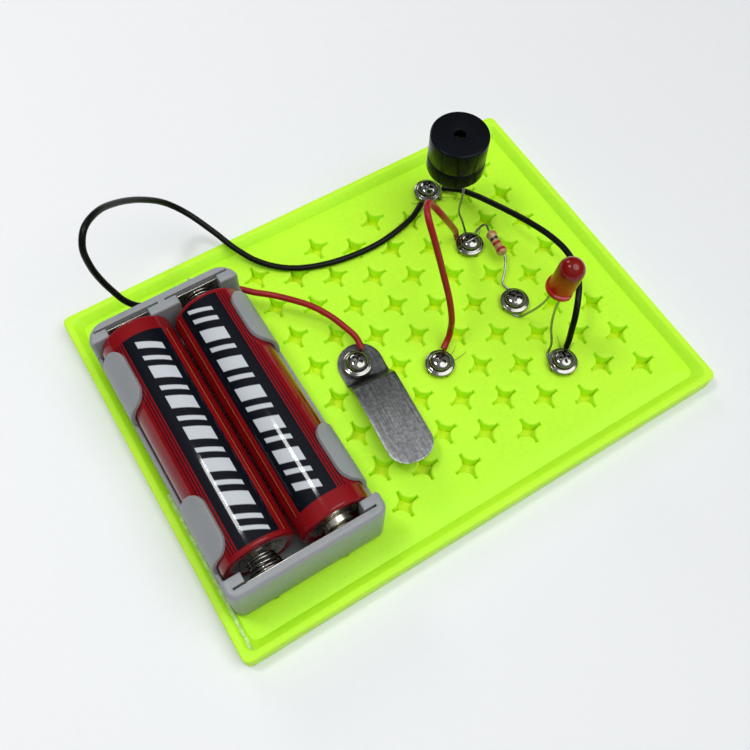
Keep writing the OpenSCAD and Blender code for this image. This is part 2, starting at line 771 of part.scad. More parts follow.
module cell_cap() {
    color("silver")
        translate([0, 0, seal_top - cap_t]) {
            cylinder(r = cap_r, h = cap_t);
            cylinder(d = nub_d, h = cap_t + sleeve_t + nub_l);
        }
}

module left_cell_can() {
    place_left_cell()
        cell_can();
}

module left_cell_sleeve() {
    place_left_cell()
        cell_sleeve();
}

module left_cell_cap() {
    place_left_cell()
        cell_cap();
}

module left_cell_seal() {
    place_left_cell()
        cell_seal();
}

module right_cell_can() {
    place_right_cell()
        cell_can();
}

module right_cell_sleeve() {
    place_right_cell()
        cell_sleeve();
}

module right_cell_cap() {
    place_right_cell()
        cell_cap();
}

module right_cell_seal() {
    place_right_cell()
        cell_seal();
}

// Contact plates and springs

// A flat plate from x0 to x1, with its lower outer face at y
module contact_plate(x0, x1, y) {
    translate([x0, y, plate_bottom])
        cube([x1 - x0, contact_t, contact_h]);
}

// A pressed bump at the height of a cell's nub, towards +Y (1) or -Y (-1)
module contact_bump(x, y, direction) {
    translate([x, y, cell_z])
        rotate([-90 * direction, 0, 0])
            cylinder(d1 = bump_d, d2 = bump_d - 2 * bump_h, h = bump_h);
}

// A lug for a wire, bent back through the end wall
module solder_lug(x, z) {
    translate([x - contact_t / 2, back_plate_y, z - lug_h / 2])
        cube([contact_t, holder_y1 + lug_out - back_plate_y, lug_h]);
}

module positive_plate() {
    color("lightsteelblue")
        on_floor() {
            contact_plate(left_x - contact_w / 2, left_x + contact_w / 2, back_plate_y);
            contact_bump(left_x, back_plate_y, -1);
            solder_lug(left_x, positive_lug_z);
        }
}

module negative_plate() {
    color("lightsteelblue")
        on_floor() {
            contact_plate(right_x - contact_w / 2, right_x + contact_w / 2, back_plate_y);
            solder_lug(right_x, negative_lug_z);
        }
}

module bridge_plate() {
    color("lightsteelblue")
        on_floor() {
            contact_plate(left_x - contact_w / 2, right_x + contact_w / 2,
                front_plate_y - contact_t);
            contact_bump(right_x, front_plate_y, 1);
        }
}

module back_spring() {
    color("silver")
        on_floor()
            translate([right_x, back_plate_y, cell_z])
                rotate(180)
                    tube(spring_path, spring_wire_d, 6);
}

module front_spring() {
    color("silver")
        on_floor()
            translate([left_x, front_plate_y, cell_z])
                tube(spring_path, spring_wire_d, 6);
}

// Key. The strip is drawn along +Y from the key screw, then turned to its place

module place_leaf() {
    on_floor()
        translate([key_at.x, key_at.y, seat_clear])
            rotate(180 - leaf_angle)
                translate([-leaf_offset, 0, 0])
                    children();
}

module key_foot() {
    half = leaf_w / 2;
    foot_mid = half - foot_back;
    color("darkgray")
        place_leaf()
            difference() {
                intersection() {
                    // The strip in plan: a round end and straight sides
                    translate([0, foot_mid, -leaf_t])
                        linear_extrude(2 * leaf_reach) {
                            circle(half);
                            translate([-half, 0])
                                square([leaf_w, leaf_reach]);
                        }
                    // The strip from the side: a flat foot, then a riser whose end meets the blade
                    rotate([90, 0, 90])
                        linear_extrude(2 * leaf_w, center = true)
                            polygon([
                                [-leaf_w, 0], [lower_bend, 0], [upper_bend, blade_rise],
                                [upper_bend - root_lean, blade_rise + leaf_t],
                                [upper_bend - bend_cut, blade_rise + leaf_t],
                                [lower_bend - bend_cut, leaf_t], [-leaf_w, leaf_t]
                            ]);
                }
                translate([leaf_offset, 0, -1])
                    cylinder(r = screw_r + pivot_clear, h = leaf_t + 2);
            }
}

module key_blade() {
    half = leaf_w / 2;
    blade_l = leaf_reach - upper_bend;
    color("lightgray")
        place_leaf()
            translate([0, upper_bend, blade_rise])
                rotate([blade_slope, 0, 0])
                    translate([-half, 0, 0])
                        linear_extrude(leaf_t) {
                            square([leaf_w, blade_l - leaf_tip_r]);
                            translate([leaf_tip_r, blade_l - leaf_tip_r])
                                square([leaf_w - 2 * leaf_tip_r, leaf_tip_r]);
                            for (x = [leaf_tip_r, leaf_w - leaf_tip_r])
                                translate([x, blade_l - leaf_tip_r])
                                    circle(leaf_tip_r);
                        }
}

// Screws

// A cross-head screw with its flange's underside at height z above the floor
module screw(at, z) {
    color("gainsboro")
        translate([at.x, at.y, floor_z + z]) {
            translate([0, 0, web_t + tip_gap - floor_z - z])
                cylinder(r = screw_r, h = floor_z + z - web_t - tip_gap + flange_t / 2);
            cylinder(d = flange_d, h = flange_t);
            translate([0, 0, flange_t / 2])
                difference() {
                    intersection() {
                        cylinder(d = head_d, h = head_h + flange_t / 2);
                        translate([0, 0, head_h + flange_t / 2 - dome_r])
                            sphere(dome_r);
                    }
                    for (turn = [0, 90])
                        rotate(turn)
                            translate([0, 0, head_h + flange_t / 2])
                                cube([recess_l, recess_w, 2 * recess_depth], center = true);
                }
        }
}

module key_screw() {
    screw(key_at, key_flange_z);
}

module terminal_screws() {
    for (at = [contact_at, minus_at, junction_at, led_plus_at, led_minus_at])
        screw(at, flange_z);
}

module stripped_wire_ends() {
    color("peru")
        on_floor()
            for (route = bare_ends)
                tube(route, lead_d, 6);
}

// Buzzer. Its pieces are drawn upward from the case's underside

module place_buzzer() {
    translate([buzzer_at.x, buzzer_at.y, floor_z + buzzer_z])
        children();
}

module buzzer_case() {
    color("dimgray")
        place_buzzer()
            difference() {
                cylinder(d = buzzer_d, h = buzzer_h);
                translate([0, 0, -1])
                    cylinder(r = case_in_r, h = ledge_z + 1);
                cylinder(r = case_in_r - ledge_w, h = buzzer_h - buzzer_wall);
                cylinder(d = sound_hole_d, h = buzzer_h + 1);
                translate([0, 0, seam_z])
                    difference() {
                        cylinder(d = buzzer_d + 1, h = seam_w);
                        translate([0, 0, -1])
                            cylinder(d = buzzer_d - 2 * seam_depth, h = seam_w + 2);
                    }
            }
}

module buzzer_base() {
    color("darkslategray")
        place_buzzer()
            translate([0, 0, base_recess])
                cylinder(r = case_in_r - seat_clear, h = buzzer_base_t);
}

module buzzer_magnet() {
    out_r = case_in_r - 2 * seat_clear;
    color("slategray")
        place_buzzer()
            translate([0, 0, base_top])
                difference() {
                    cylinder(r = out_r, h = ledge_z - diaphragm_t - base_top);
                    translate([0, 0, -1])
                        cylinder(r = out_r - magnet_w, h = buzzer_h);
                }
}

module buzzer_coil() {
    color("sienna")
        place_buzzer()
            translate([0, 0, base_top])
                difference() {
                    cylinder(d = coil_d, h = ledge_z - diaphragm_t - base_top - 2 * core_gap);
                    translate([0, 0, -1])
                        cylinder(d = core_d + 2 * seat_clear, h = buzzer_h);
                }
}

module buzzer_core() {
    color("gray")
        place_buzzer()
            translate([0, 0, base_top])
                cylinder(d = core_d, h = ledge_z - diaphragm_t - base_top - core_gap);
}

module buzzer_diaphragm() {
    color("silver")
        place_buzzer()
            translate([0, 0, ledge_z - diaphragm_t])
                cylinder(r = case_in_r - seat_clear, h = diaphragm_t);
}

module buzzer_minus_leg() {
    color("silver")
        on_floor()
            tube(buzzer_minus_route, lead_d);
}

module buzzer_plus_leg() {
    color("silver")
        on_floor()
            tube(buzzer_plus_route, lead_d);
}

// Lamp

module led_lens() {
    lens_r = lens_d / 2;
    color("red", 0.8)
        translate([lamp_at.x, lamp_at.y, floor_z + lens_z]) {
            cylinder(d = lens_flange_d, h = lens_flange_h);
            cylinder(d = lens_d, h = lens_h - lens_r);
            translate([0, 0, lens_h - lens_r])
                sphere(lens_r);
        }
}

module led_anode_lead() {
    color("silver")
        on_floor()
            tube(anode_route, lead_d);
}

module led_cathode_lead() {
    color("silver")
        on_floor()
            tube(cathode_route, lead_d);
}

module led_chip() {
    color("gold")
        translate([cathode_at.x, cathode_at.y, floor_z + lens_z + cup_h + chip_w / 2])
            cube(chip_w, center = true);
}

// Resistor

module place_resistor() {
    translate(resistor_end_1 + [0, 0, floor_z])
        rotate([90, 0, atan2(resistor_dir.y, resistor_dir.x) + 90])
            children();
}

module resistor_body() {
    color("tan")
        place_resistor() {
            cylinder(d = resistor_waist_d, h = resistor_l);
            for (z = [0, resistor_l - resistor_end_l])
                translate([0, 0, z])
                    cylinder(d = resistor_end_d, h = resistor_end_l);
        }
}

module resistor_leads() {
    color("silver")
        on_floor() {
            tube(resistor_route_1, lead_d);
            tube(resistor_route_2, lead_d);
        }
}

// Wires

module wire(route, colour) {
    color(colour)
        on_floor()
            tube(route, wire_d);
}

module black_battery_wire() {
    wire(black_battery_route, "black");
}

module red_battery_wire() {
    wire(red_battery_route, "crimson");
}

module red_jumper() {
    wire(red_jumper_route, "crimson");
}

module black_jumper() {
    wire(black_jumper_route, "black");
}

base_board();
mounting_tape();
battery_holder();
left_snap_tabs();
right_snap_tabs();
left_cell_can();
left_cell_sleeve();
left_cell_cap();
left_cell_seal();
right_cell_can();
right_cell_sleeve();
right_cell_cap();
right_cell_seal();
positive_plate();
negative_plate();
bridge_plate();
back_spring();
front_spring();
key_foot();
key_blade();
key_screw();
terminal_screws();
stripped_wire_ends();
buzzer_case();
buzzer_base();
buzzer_magnet();
buzzer_coil();
buzzer_core();
buzzer_diaphragm();
buzzer_minus_leg();
buzzer_plus_leg();
led_lens();
led_anode_lead();
led_cathode_lead();
led_chip();
resistor_body();
resistor_leads();
black_battery_wire();
red_battery_wire();
red_jumper();
black_jumper();
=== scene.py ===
# Looks of a classroom telegraph sender: a lime board full of star holes, a holder with two cells,
# a springy strip key, a buzzer, a lamp with its resistor, and four wires. Metres, +Z up.
import math
import random

import bmesh
import bpy
from mathutils import Matrix, Vector


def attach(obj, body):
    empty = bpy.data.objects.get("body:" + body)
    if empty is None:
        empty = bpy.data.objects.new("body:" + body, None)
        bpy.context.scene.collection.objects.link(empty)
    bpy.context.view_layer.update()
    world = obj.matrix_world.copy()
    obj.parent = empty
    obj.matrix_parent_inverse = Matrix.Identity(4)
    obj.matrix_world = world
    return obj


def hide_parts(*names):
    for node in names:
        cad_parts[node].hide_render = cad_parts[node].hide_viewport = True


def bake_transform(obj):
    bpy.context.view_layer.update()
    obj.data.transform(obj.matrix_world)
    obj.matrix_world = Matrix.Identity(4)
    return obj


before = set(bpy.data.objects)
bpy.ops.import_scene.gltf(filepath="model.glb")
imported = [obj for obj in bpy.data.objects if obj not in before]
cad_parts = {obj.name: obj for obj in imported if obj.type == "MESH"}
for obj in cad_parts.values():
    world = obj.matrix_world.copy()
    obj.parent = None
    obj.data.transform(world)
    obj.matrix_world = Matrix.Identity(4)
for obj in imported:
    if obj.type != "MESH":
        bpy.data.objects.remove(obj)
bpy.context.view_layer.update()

MM = 0.001
FLOOR = 3.1  # height of the board's floor above the table, in millimetres
WELD = 2e-6  # points closer than this are one, in metres
dice = random.Random(7)


# Placing

def at(x, y, z):
    """A point given in millimetres above the board's floor, in metres in the frame."""
    return Vector((x, y, z + FLOOR)) * MM


def lift(screw, dx, dy, z):
    """A point beside a screw or a pin, in millimetres."""
    return (screw[0] + dx, screw[1] + dy, z)


def about(spot, *offsets):
    return [lift(spot, *offset) for offset in offsets]


# Millimetres; the screws sit in star holes, and heights are above the board's floor
PITCH = 8.3
COLUMN = PITCH * math.sqrt(3) / 2
KEY = (-COLUMN, 0.0)
CONTACT = (COLUMN, -PITCH)
MINUS = (4 * COLUMN, 3.5 * PITCH)
JUNCTION = (4 * COLUMN, 1.5 * PITCH)
LAMP_PLUS = (4 * COLUMN, -0.5 * PITCH)
LAMP_MINUS = (4 * COLUMN, -2.5 * PITCH)
FLANGE_R = 3.0
FLANGE_Z = 0.56
KEY_FLANGE_Z = 0.99
CLAMP_Z = 0.28
KEY_CLAMP_Z = 0.71
CLAMP_SIDE = 1.85
CLAMP_GAP = 0.3
LEAD_R = 0.25
LUG_Y = 28.6  # the solder lugs behind the holder
LEFT_LUG_Z, RIGHT_LUG_Z = 4.0, 9.0
WEB_T = 0.6  # thickness of the board under a star well



# Shader groups and materials

VALUE, VECTOR = "NodeSocketFloat", "NodeSocketVector"
FINISH = ("Tone", "Rough", "Height")
GRAIN_DEPTH = 0.0002  # how far a full bump stands out, in metres
CELL_BODY_L = 49.2


def node_group(kind, name, inputs, outputs):
    """A node group, its input and output nodes, and its inputs' identifiers by label."""
    tree = bpy.data.node_groups.new(name, kind)
    names = {}
    for label, socket_kind in outputs:
        tree.interface.new_socket(label, in_out="OUTPUT", socket_type=socket_kind)
    for label, socket_kind, value in inputs:
        socket = tree.interface.new_socket(label, in_out="INPUT", socket_type=socket_kind)
        if value is not None:
            socket.default_value = value
        names[label] = socket.identifier
    return tree, tree.nodes.new("NodeGroupInput"), tree.nodes.new("NodeGroupOutput"), names


def feed(tree, socket, value):
    """Links a socket to another one, or sets it to a value."""
    if isinstance(value, bpy.types.NodeSocket):
        tree.links.new(value, socket)
    else:
        socket.default_value = (*value, 1.0) if socket.type == "RGBA" else value


def add_node(tree, kind, **settings):
    """A node, with settings for its own properties or for its inputs by label."""
    node = tree.nodes.new(kind)
    for key, value in settings.items():
        if hasattr(node, key):
            setattr(node, key, value)
        else:
            feed(tree, node.inputs[key.replace("_", " ")], value)
    return node


def remap(tree, source, low, high, to_low, to_high):
    return add_node(tree, "ShaderNodeMapRange", interpolation_type="SMOOTHSTEP", Value=source,
                    From_Min=low, From_Max=high, To_Min=to_low, To_Max=to_high).outputs["Result"]


def arith(tree, operation, *values):
    node = add_node(tree, "ShaderNodeMath", operation=operation)
    for socket, value in zip(node.inputs, values):
        feed(tree, socket, value)
    return node.outputs[0]


def coordinates(tree, kind="Object"):
    return tree.nodes.new("ShaderNodeTexCoord").outputs[kind]


def axes_of(tree, vector):
    return add_node(tree, "ShaderNodeSeparateXYZ", Vector=vector).outputs


def make_mottle():
    """Slow clouds and fine grain: a tone about 1, a roughness and a height."""
    tree, given, out, _ = node_group(
        "ShaderNodeTree", "mottle",
        [("Vector", VECTOR, None), ("Cloud scale", VALUE, 60.0), ("Grain scale", VALUE, 900.0),
         ("Tone low", VALUE, 0.9), ("Tone high", VALUE, 1.06),
         ("Rough low", VALUE, 0.4), ("Rough high", VALUE, 0.55)],
        [(label, VALUE) for label in FINISH])
    values = given.outputs
    cloud, grain = (
        add_node(tree, "ShaderNodeTexNoise", Detail=detail, Vector=values["Vector"],
                 Scale=values[label]).outputs["Fac"]
        for detail, label in ((4.0, "Cloud scale"), (3.0, "Grain scale")))
    both = arith(tree, "MULTIPLY_ADD", grain, 0.35, arith(tree, "MULTIPLY", cloud, 0.65))
    feed(tree, out.inputs["Tone"], remap(tree, both, 0.34, 0.66, values["Tone low"], values["Tone high"]))
    feed(tree, out.inputs["Rough"], remap(tree, grain, 0.3, 0.7, values["Rough low"], values["Rough high"]))
    feed(tree, out.inputs["Height"], grain)
    return tree


def make_brushing():
    """Long fine scratches along V of the given vector."""
    tree, given, out, _ = node_group(
        "ShaderNodeTree", "brushing",
        [("Vector", VECTOR, None), ("Across", VALUE, 120.0), ("Along", VALUE, 4.0),
         ("Tone low", VALUE, 0.7), ("Tone high", VALUE, 1.25),
         ("Rough low", VALUE, 0.28), ("Rough high", VALUE, 0.48)],
        [(label, VALUE) for label in FINISH])
    values = given.outputs
    place = axes_of(tree, values["Vector"])
    stretched = add_node(tree, "ShaderNodeCombineXYZ",
                         X=arith(tree, "MULTIPLY", place["X"], values["Across"]),
                         Y=arith(tree, "MULTIPLY", place["Y"], values["Along"]))
    lines = add_node(tree, "ShaderNodeTexNoise", Scale=1.0, Detail=5.0, Roughness=0.65,
                     Vector=stretched.outputs[0]).outputs["Fac"]
    for label in ("Tone", "Rough"):
        low, high = values[label + " low"], values[label + " high"]
        feed(tree, out.inputs[label], remap(tree, lines, 0.3, 0.7, low, high))
    feed(tree, out.inputs["Height"], lines)
    return tree


def make_printed_band():
    """1 where a coordinate lies between two lines, with soft edges."""
    tree, given, out, _ = node_group(
        "ShaderNodeTree", "printed_band",
        [("Coordinate", VALUE, 0.0), ("From", VALUE, 0.0), ("To", VALUE, 1.0), ("Edge", VALUE, 0.3)],
        [("Mask", VALUE)])
    coordinate, start, end, edge = (given.outputs[label] for label in ("Coordinate", "From", "To", "Edge"))
    up, down = (
        remap(tree, coordinate, arith(tree, "SUBTRACT", line, edge), arith(tree, "ADD", line, edge), *levels)
        for line, levels in ((start, (0.0, 1.0)), (end, (1.0, 0.0))))
    feed(tree, out.inputs["Mask"], arith(tree, "MULTIPLY", up, down))
    return tree


MOTTLE = make_mottle()
BRUSHING = make_brushing()
PRINTED_BAND = make_printed_band()


def blank(name, colour, rough, metallic=0.0, **sockets):
    mat = bpy.data.materials.new(name)
    mat.use_nodes = True
    shader = mat.node_tree.nodes["Principled BSDF"]
    for key, value in {"Base_Color": colour, "Roughness": rough, "Metallic": metallic, **sockets}.items():
        feed(mat.node_tree, shader.inputs[key.replace("_", " ")], value)
    return mat, mat.node_tree, shader


def mottle(tree, cloud, grain, tone, rough):
    """The tone, roughness and height of the mottle group on Object coordinates."""
    node = add_node(tree, "ShaderNodeGroup", node_tree=MOTTLE, Vector=coordinates(tree), Cloud_scale=cloud,
                    Grain_scale=grain, Tone_low=tone[0], Tone_high=tone[1], Rough_low=rough[0],
                    Rough_high=rough[1])
    return [node.outputs[label] for label in FINISH]


def band(tree, coordinate, start, end, edge):
    """The mask of a printed band."""
    return add_node(tree, "ShaderNodeGroup", node_tree=PRINTED_BAND, Coordinate=coordinate, From=start,
                    To=end, Edge=edge).outputs[0]


def mixed(tree, under, over, factor, blend):
    node = add_node(tree, "ShaderNodeMix", data_type="RGBA", blend_type=blend, Factor=factor)
    feed(tree, node.inputs[6], under)
    feed(tree, node.inputs[7], over)
    return node.outputs[2]


def tint(tree, colour, tone):
    """A colour, or a colour socket, times a tone."""
    return mixed(tree, colour, tone, 1.0, "MULTIPLY")


def lay_over(tree, under, colour, mask):
    """A colour laid over another where the mask is 1."""
    return mixed(tree, under, colour, mask, "MIX")


def dress(tree, shader, colour, rough, height=None, bump=0.0, depth=GRAIN_DEPTH):
    """Links a material's colour and roughness, and its bump if it has one."""
    feed(tree, shader.inputs["Base Color"], colour)
    feed(tree, shader.inputs["Roughness"], rough)
    if height:
        raised = add_node(tree, "ShaderNodeBump", Strength=bump, Distance=depth, Height=height)
        feed(tree, shader.inputs["Normal"], raised.outputs[0])


def mottled(name, colour, rough, cloud, grain, tones, bump, metallic=0.0, **sockets):
    mat, tree, shader = blank(name, colour, rough[0], metallic, **sockets)
    tone, roughness, height = mottle(tree, cloud, grain, tones, rough)
    dress(tree, shader, tint(tree, colour, tone), roughness, height, bump)
    return mat


def metal(name, colour, rough, cloud, grain, tones, bump):
    return mottled(name, colour, rough, cloud, grain, tones, bump, metallic=1.0)


# Each has its tint, roughness, cloud and grain sizes, range of tone and strength of bump
frost = mottled("frosted_grey", (0.276, 0.292, 0.304), (0.34, 0.50), 90, 1800, (0.94, 1.05), 0.10,
                Subsurface_Weight=0.4, Subsurface_Scale=0.0015)
foam = mottled("pale_foam", (0.52, 0.78, 0.24), (0.75, 0.95), 700, 3200, (0.72, 1.1), 0.7)
nickel = metal("bright_nickel", (0.27, 0.268, 0.245), (0.06, 0.13), 400, 2600, (0.86, 1.05), 0.05)
dull_nickel = metal("dull_nickel", (0.40, 0.385, 0.33), (0.22, 0.36), 300, 2200, (0.85, 1.05), 0.04)
cell_steel = metal("cell_steel", (0.70, 0.67, 0.56), (0.20, 0.32), 200, 2200, (0.93, 1.03), 0.02)
tinned = metal("tinned_wire", (0.34, 0.34, 0.32), (0.24, 0.42), 500, 2400, (0.75, 1.05), 0.10)
solder = metal("solder", (0.60, 0.60, 0.59), (0.22, 0.40), 900, 3000, (0.85, 1.05), 0.2)
copper = metal("stranded_copper", (0.52, 0.25, 0.11), (0.28, 0.45), 900, 3000, (0.65, 1.15), 0.10)
chip_gold = metal("chip_gold", (0.75, 0.55, 0.15), (0.2, 0.35), 900, 3000, (0.8, 1.05), 0.05)
winding = mottled("enamelled_winding", (0.42, 0.14, 0.05), (0.25, 0.4), 500, 5000, (0.7, 1.1), 0.3,
                  metallic=0.7)
ferrite = mottled("dark_ferrite", (0.05, 0.05, 0.055), (0.5, 0.7), 300, 2500, (0.8, 1.2), 0.2)
circuit_green = mottled("green_laminate", (0.03, 0.12, 0.05), (0.35, 0.5), 300, 2500, (0.8, 1.1), 0.1)
seal_black = mottled("black_washer", (0.02, 0.02, 0.022), (0.5, 0.65), 400, 2500, (0.8, 1.2), 0.15)
buzzer_black = mottled("satin_black", (0.003, 0.004, 0.006), (0.16, 0.26), 200, 2600, (0.8, 1.25), 0.05,
                       Specular_IOR_Level=0.09)
black_pvc = mottled("black_insulation", (0.003, 0.004, 0.003), (0.24, 0.36), 180, 2200, (0.8, 1.3), 0.10,
                    Specular_IOR_Level=0.14)
red_pvc = mottled("red_insulation", (0.29, 0.009, 0.009), (0.28, 0.42), 180, 2200, (0.86, 1.08), 0.10,
                  Specular_IOR_Level=0.26)


def make_lime():
    """Bright moulded lime that light soaks into, with painted shade in the star wells: yellower towards their
    bottoms.
    """
    open_floor, painted_well_shade = (0.53, 0.98, 0.025), (0.66, 0.93, 0.002)
    mat, tree, shader = blank("moulded_lime", open_floor, 0.5, Specular_IOR_Level=0.3, Subsurface_Weight=0.7,
                              Subsurface_Radius=(1.0, 1.0, 0.4), Subsurface_Scale=0.0015)
    tone, rough, height = mottle(tree, 45.0, 1500.0, (0.95, 1.03), (0.45, 0.58))
    place = axes_of(tree, coordinates(tree))
    # Painted shade: inside the rim, the lime turns to the well tint towards the bottoms of the star wells.
    depth = remap(tree, place["Z"], (WEB_T + 0.2) * MM, (FLOOR - 0.05) * MM, 1.0, 0.0)
    for axis, start, end in (("X", -50.3, 50.3), ("Y", -36.3, 36.3), ("Z", WEB_T - 0.2, FLOOR)):
        inside = band(tree, place[axis], start * MM, end * MM, 0.1 * MM)
        depth = arith(tree, "MULTIPLY", inside, depth)
    dress(tree, shader, tint(tree, lay_over(tree, open_floor, painted_well_shade, depth), tone), rough, height, 0.08)
    return mat


def make_strip_steel():
    """Steel brushed along the strip, with painted shade darker towards the bend, with the strip's own UV."""
    mat, tree, shader = blank("brushed_strip", (0.4, 0.4, 0.41), 0.36, 1.0)
    uv = coordinates(tree, "UV")
    lines = add_node(tree, "ShaderNodeGroup", node_tree=BRUSHING, Vector=uv, Across=90.0, Along=3.6,
                     Tone_low=0.58, Tone_high=1.46, Rough_low=0.27, Rough_high=0.45).outputs
    clouds, _, _ = mottle(tree, 1500.0, 5200.0, (0.70, 1.22), (0.4, 0.55))
    # Painted shade: the tone is low on the foot and the bend and rises along the blade.
    shade = remap(tree, axes_of(tree, uv)["Y"], 0.40, 0.80, 0.42, 1.0)
    tone = arith(tree, "MULTIPLY", arith(tree, "MULTIPLY", lines["Tone"], clouds), shade)
    dress(tree, shader, tint(tree, (0.31, 0.317, 0.315), tone), lines["Rough"], lines["Height"], 0.12, 0.0001)
    return mat


def make_printed_sleeve():
    """A glossy red film with a black panel, slanted pale bars, pinstripes and a gold line.
    U is the angle round the cell with the top at 0.5, V the length from the flat end."""
    red, ink, pale = (0.225, 0.005, 0.008), (0.003, 0.004, 0.008), (0.52, 0.55, 0.58)
    mat, tree, shader = blank("printed_film", red, 0.1, Specular_IOR_Level=0.28)
    place = axes_of(tree, coordinates(tree, "UV"))
    angle = arith(tree, "MULTIPLY_ADD", place["X"], 360.0, -180.0)
    along = arith(tree, "MULTIPLY", place["Y"], CELL_BODY_L)
    tone, rough, _ = mottle(tree, 140.0, 2400.0, (0.9, 1.05), (0.06, 0.08))
    panel_along = band(tree, along, 0.9, 45.9, 0.12)

    def on_panel(mask):
        return arith(tree, "MULTIPLY", mask, panel_along)

    colour = lay_over(tree, tint(tree, red, tone), ink, on_panel(band(tree, angle, -33.5, 33.5, 0.5)))
    slant = arith(tree, "MULTIPLY_ADD", angle, 0.055, along)
    beat = arith(tree, "FRACT", arith(tree, "DIVIDE", slant, 6.9))
    bars = arith(tree, "MAXIMUM", band(tree, beat, 0.10, 0.50, 0.02), band(tree, beat, 0.70, 0.84, 0.02))
    field = arith(tree, "MULTIPLY", band(tree, angle, -16.5, 20.0, 0.5), band(tree, slant, 2.6, 43.6, 0.12))
    colour = lay_over(tree, colour, pale, arith(tree, "MULTIPLY", bars, field))
    pinstripes = [(middle, 0.9, 0.4, ink) for middle in (-46.8, -41.6, -36.8)]
    edge_lines = [(43.5, 0.4, 0.35, (0.50, 0.26, 0.05)), (47.0, 0.9, 0.35, (0.03, 0.004, 0.006)),
                  (-78.0, 1.0, 0.35, (0.16, 0.004, 0.006))]
    for middle, half, edge, shade in pinstripes + edge_lines:
        line = on_panel(band(tree, angle, middle - half, middle + half, edge))
        colour = lay_over(tree, colour, shade, line)
    dress(tree, shader, colour, rough)
    return mat


def make_lens():
    """Clear red, with painted shade: the dome is darker than the barrel, which the lime lights from below."""
    red = (0.50, 0.009, 0.005)
    dome_start, dome_top, dome_shade_tone = 0.0270, 0.0305, 0.52
    mat, tree, shader = blank("red_lens", red, 0.14, Transmission_Weight=0.18, IOR=1.45,
                              Specular_IOR_Level=0.40)
    tone, rough, _ = mottle(tree, 300.0, 1400.0, (0.85, 1.05), (0.05, 0.09))
    # Painted shade: darker from the dome's start up to its top.
    shade = remap(tree, axes_of(tree, coordinates(tree))["Z"], dome_start, dome_top, 1.0, dome_shade_tone)
    dress(tree, shader, tint(tree, tint(tree, red, tone), shade), rough)
    return mat


def make_banded_lacquer():
    """Tan lacquer with colour bands; V runs along the resistor from the junction's end."""
    tan, gold = (0.46, 0.26, 0.11), (0.34, 0.17, 0.03)
    black, red = (0.006, 0.005, 0.005), (0.30, 0.010, 0.010)
    mat, tree, shader = blank("banded_lacquer", tan, 0.3, Coat_Weight=0.5, Coat_Roughness=0.12)
    along = axes_of(tree, coordinates(tree, "UV"))["Y"]
    tone, rough, _ = mottle(tree, 600.0, 2600.0, (0.82, 1.08), (0.26, 0.40))
    colour = tint(tree, tan, tone)
    for start, end, ring in ((0.10, 0.20, gold), (0.30, 0.41, black), (0.50, 0.61, red), (0.78, 0.90, red)):
        colour = lay_over(tree, colour, ring, band(tree, along, start, end, 0.012))
    dress(tree, shader, colour, rough)
    return mat


lime = make_lime()
strip_steel = make_strip_steel()
printed_film = make_printed_sleeve()
red_lens = make_lens()
banded_lacquer = make_banded_lacquer()


# Mesh making

def curve_through(points, cuts):
    """A smooth line through the points, with each span cut into so many pieces."""
    ends = [points[0] * 2 - points[1], *points, points[-1] * 2 - points[-2]]
    line = []
    for a, b, c, d in zip(ends, ends[1:], ends[2:], ends[3:]):
        ab, bc, cd = (max((q - p).length, 1e-9) ** 0.5 for p, q in ((a, b), (b, c), (c, d)))
        m1 = ((b - a) / ab - (c - a) / (ab + bc) + (c - b) / bc) * bc
        m2 = ((c - b) / bc - (d - b) / (bc + cd) + (d - c) / cd) * bc
        for i in range(cuts):
            t = i / cuts
            line.append(b * (2 * t ** 3 - 3 * t * t + 1) + m1 * (t ** 3 - 2 * t * t + t)
                        + c * (3 * t * t - 2 * t ** 3) + m2 * (t ** 3 - t * t))
    line.append(points[-1].copy())
    return line



def heading(line, i):
    return (line[min(i + 1, len(line) - 1)] - line[max(i - 1, 0)]).normalized()


def frames_along(line):
    """Each point of a line, with two directions square to it that don't spin on the way."""
    normal, frames = None, []
    for i, p in enumerate(line):
        ahead = heading(line, i)
        normal = ahead.orthogonal() if normal is None else normal
        normal = (normal - ahead * normal.dot(ahead)).normalized()
        frames.append((p, normal, ahead.cross(normal)))
    return frames


def quarter(cuts):
    """The angles of a quarter turn, cut so many times."""
    return [i * math.pi / (2 * cuts) for i in range(cuts + 1)]


def tube(line, radius, sides=12):
    """A round tube along a line, with flat ends. The radius may be a list, one for each point."""
    radii = radius if isinstance(radius, list) else [radius] * len(line)
    verts, faces = [], []
    for (p, normal, other), r in zip(frames_along(line), radii):
        for k in range(sides):
            a = 2 * math.pi * k / sides
            verts.append(p + (normal * math.cos(a) + other * math.sin(a)) * r)
    for i in range(len(line) - 1):
        for k in range(sides):
            a, b = i * sides + k, i * sides + (k + 1) % sides
            faces.append((a, b, b + sides, a + sides))
    faces.append(tuple(range(sides - 1, -1, -1)))
    faces.append(tuple(range(len(verts) - sides, len(verts))))
    return verts, faces


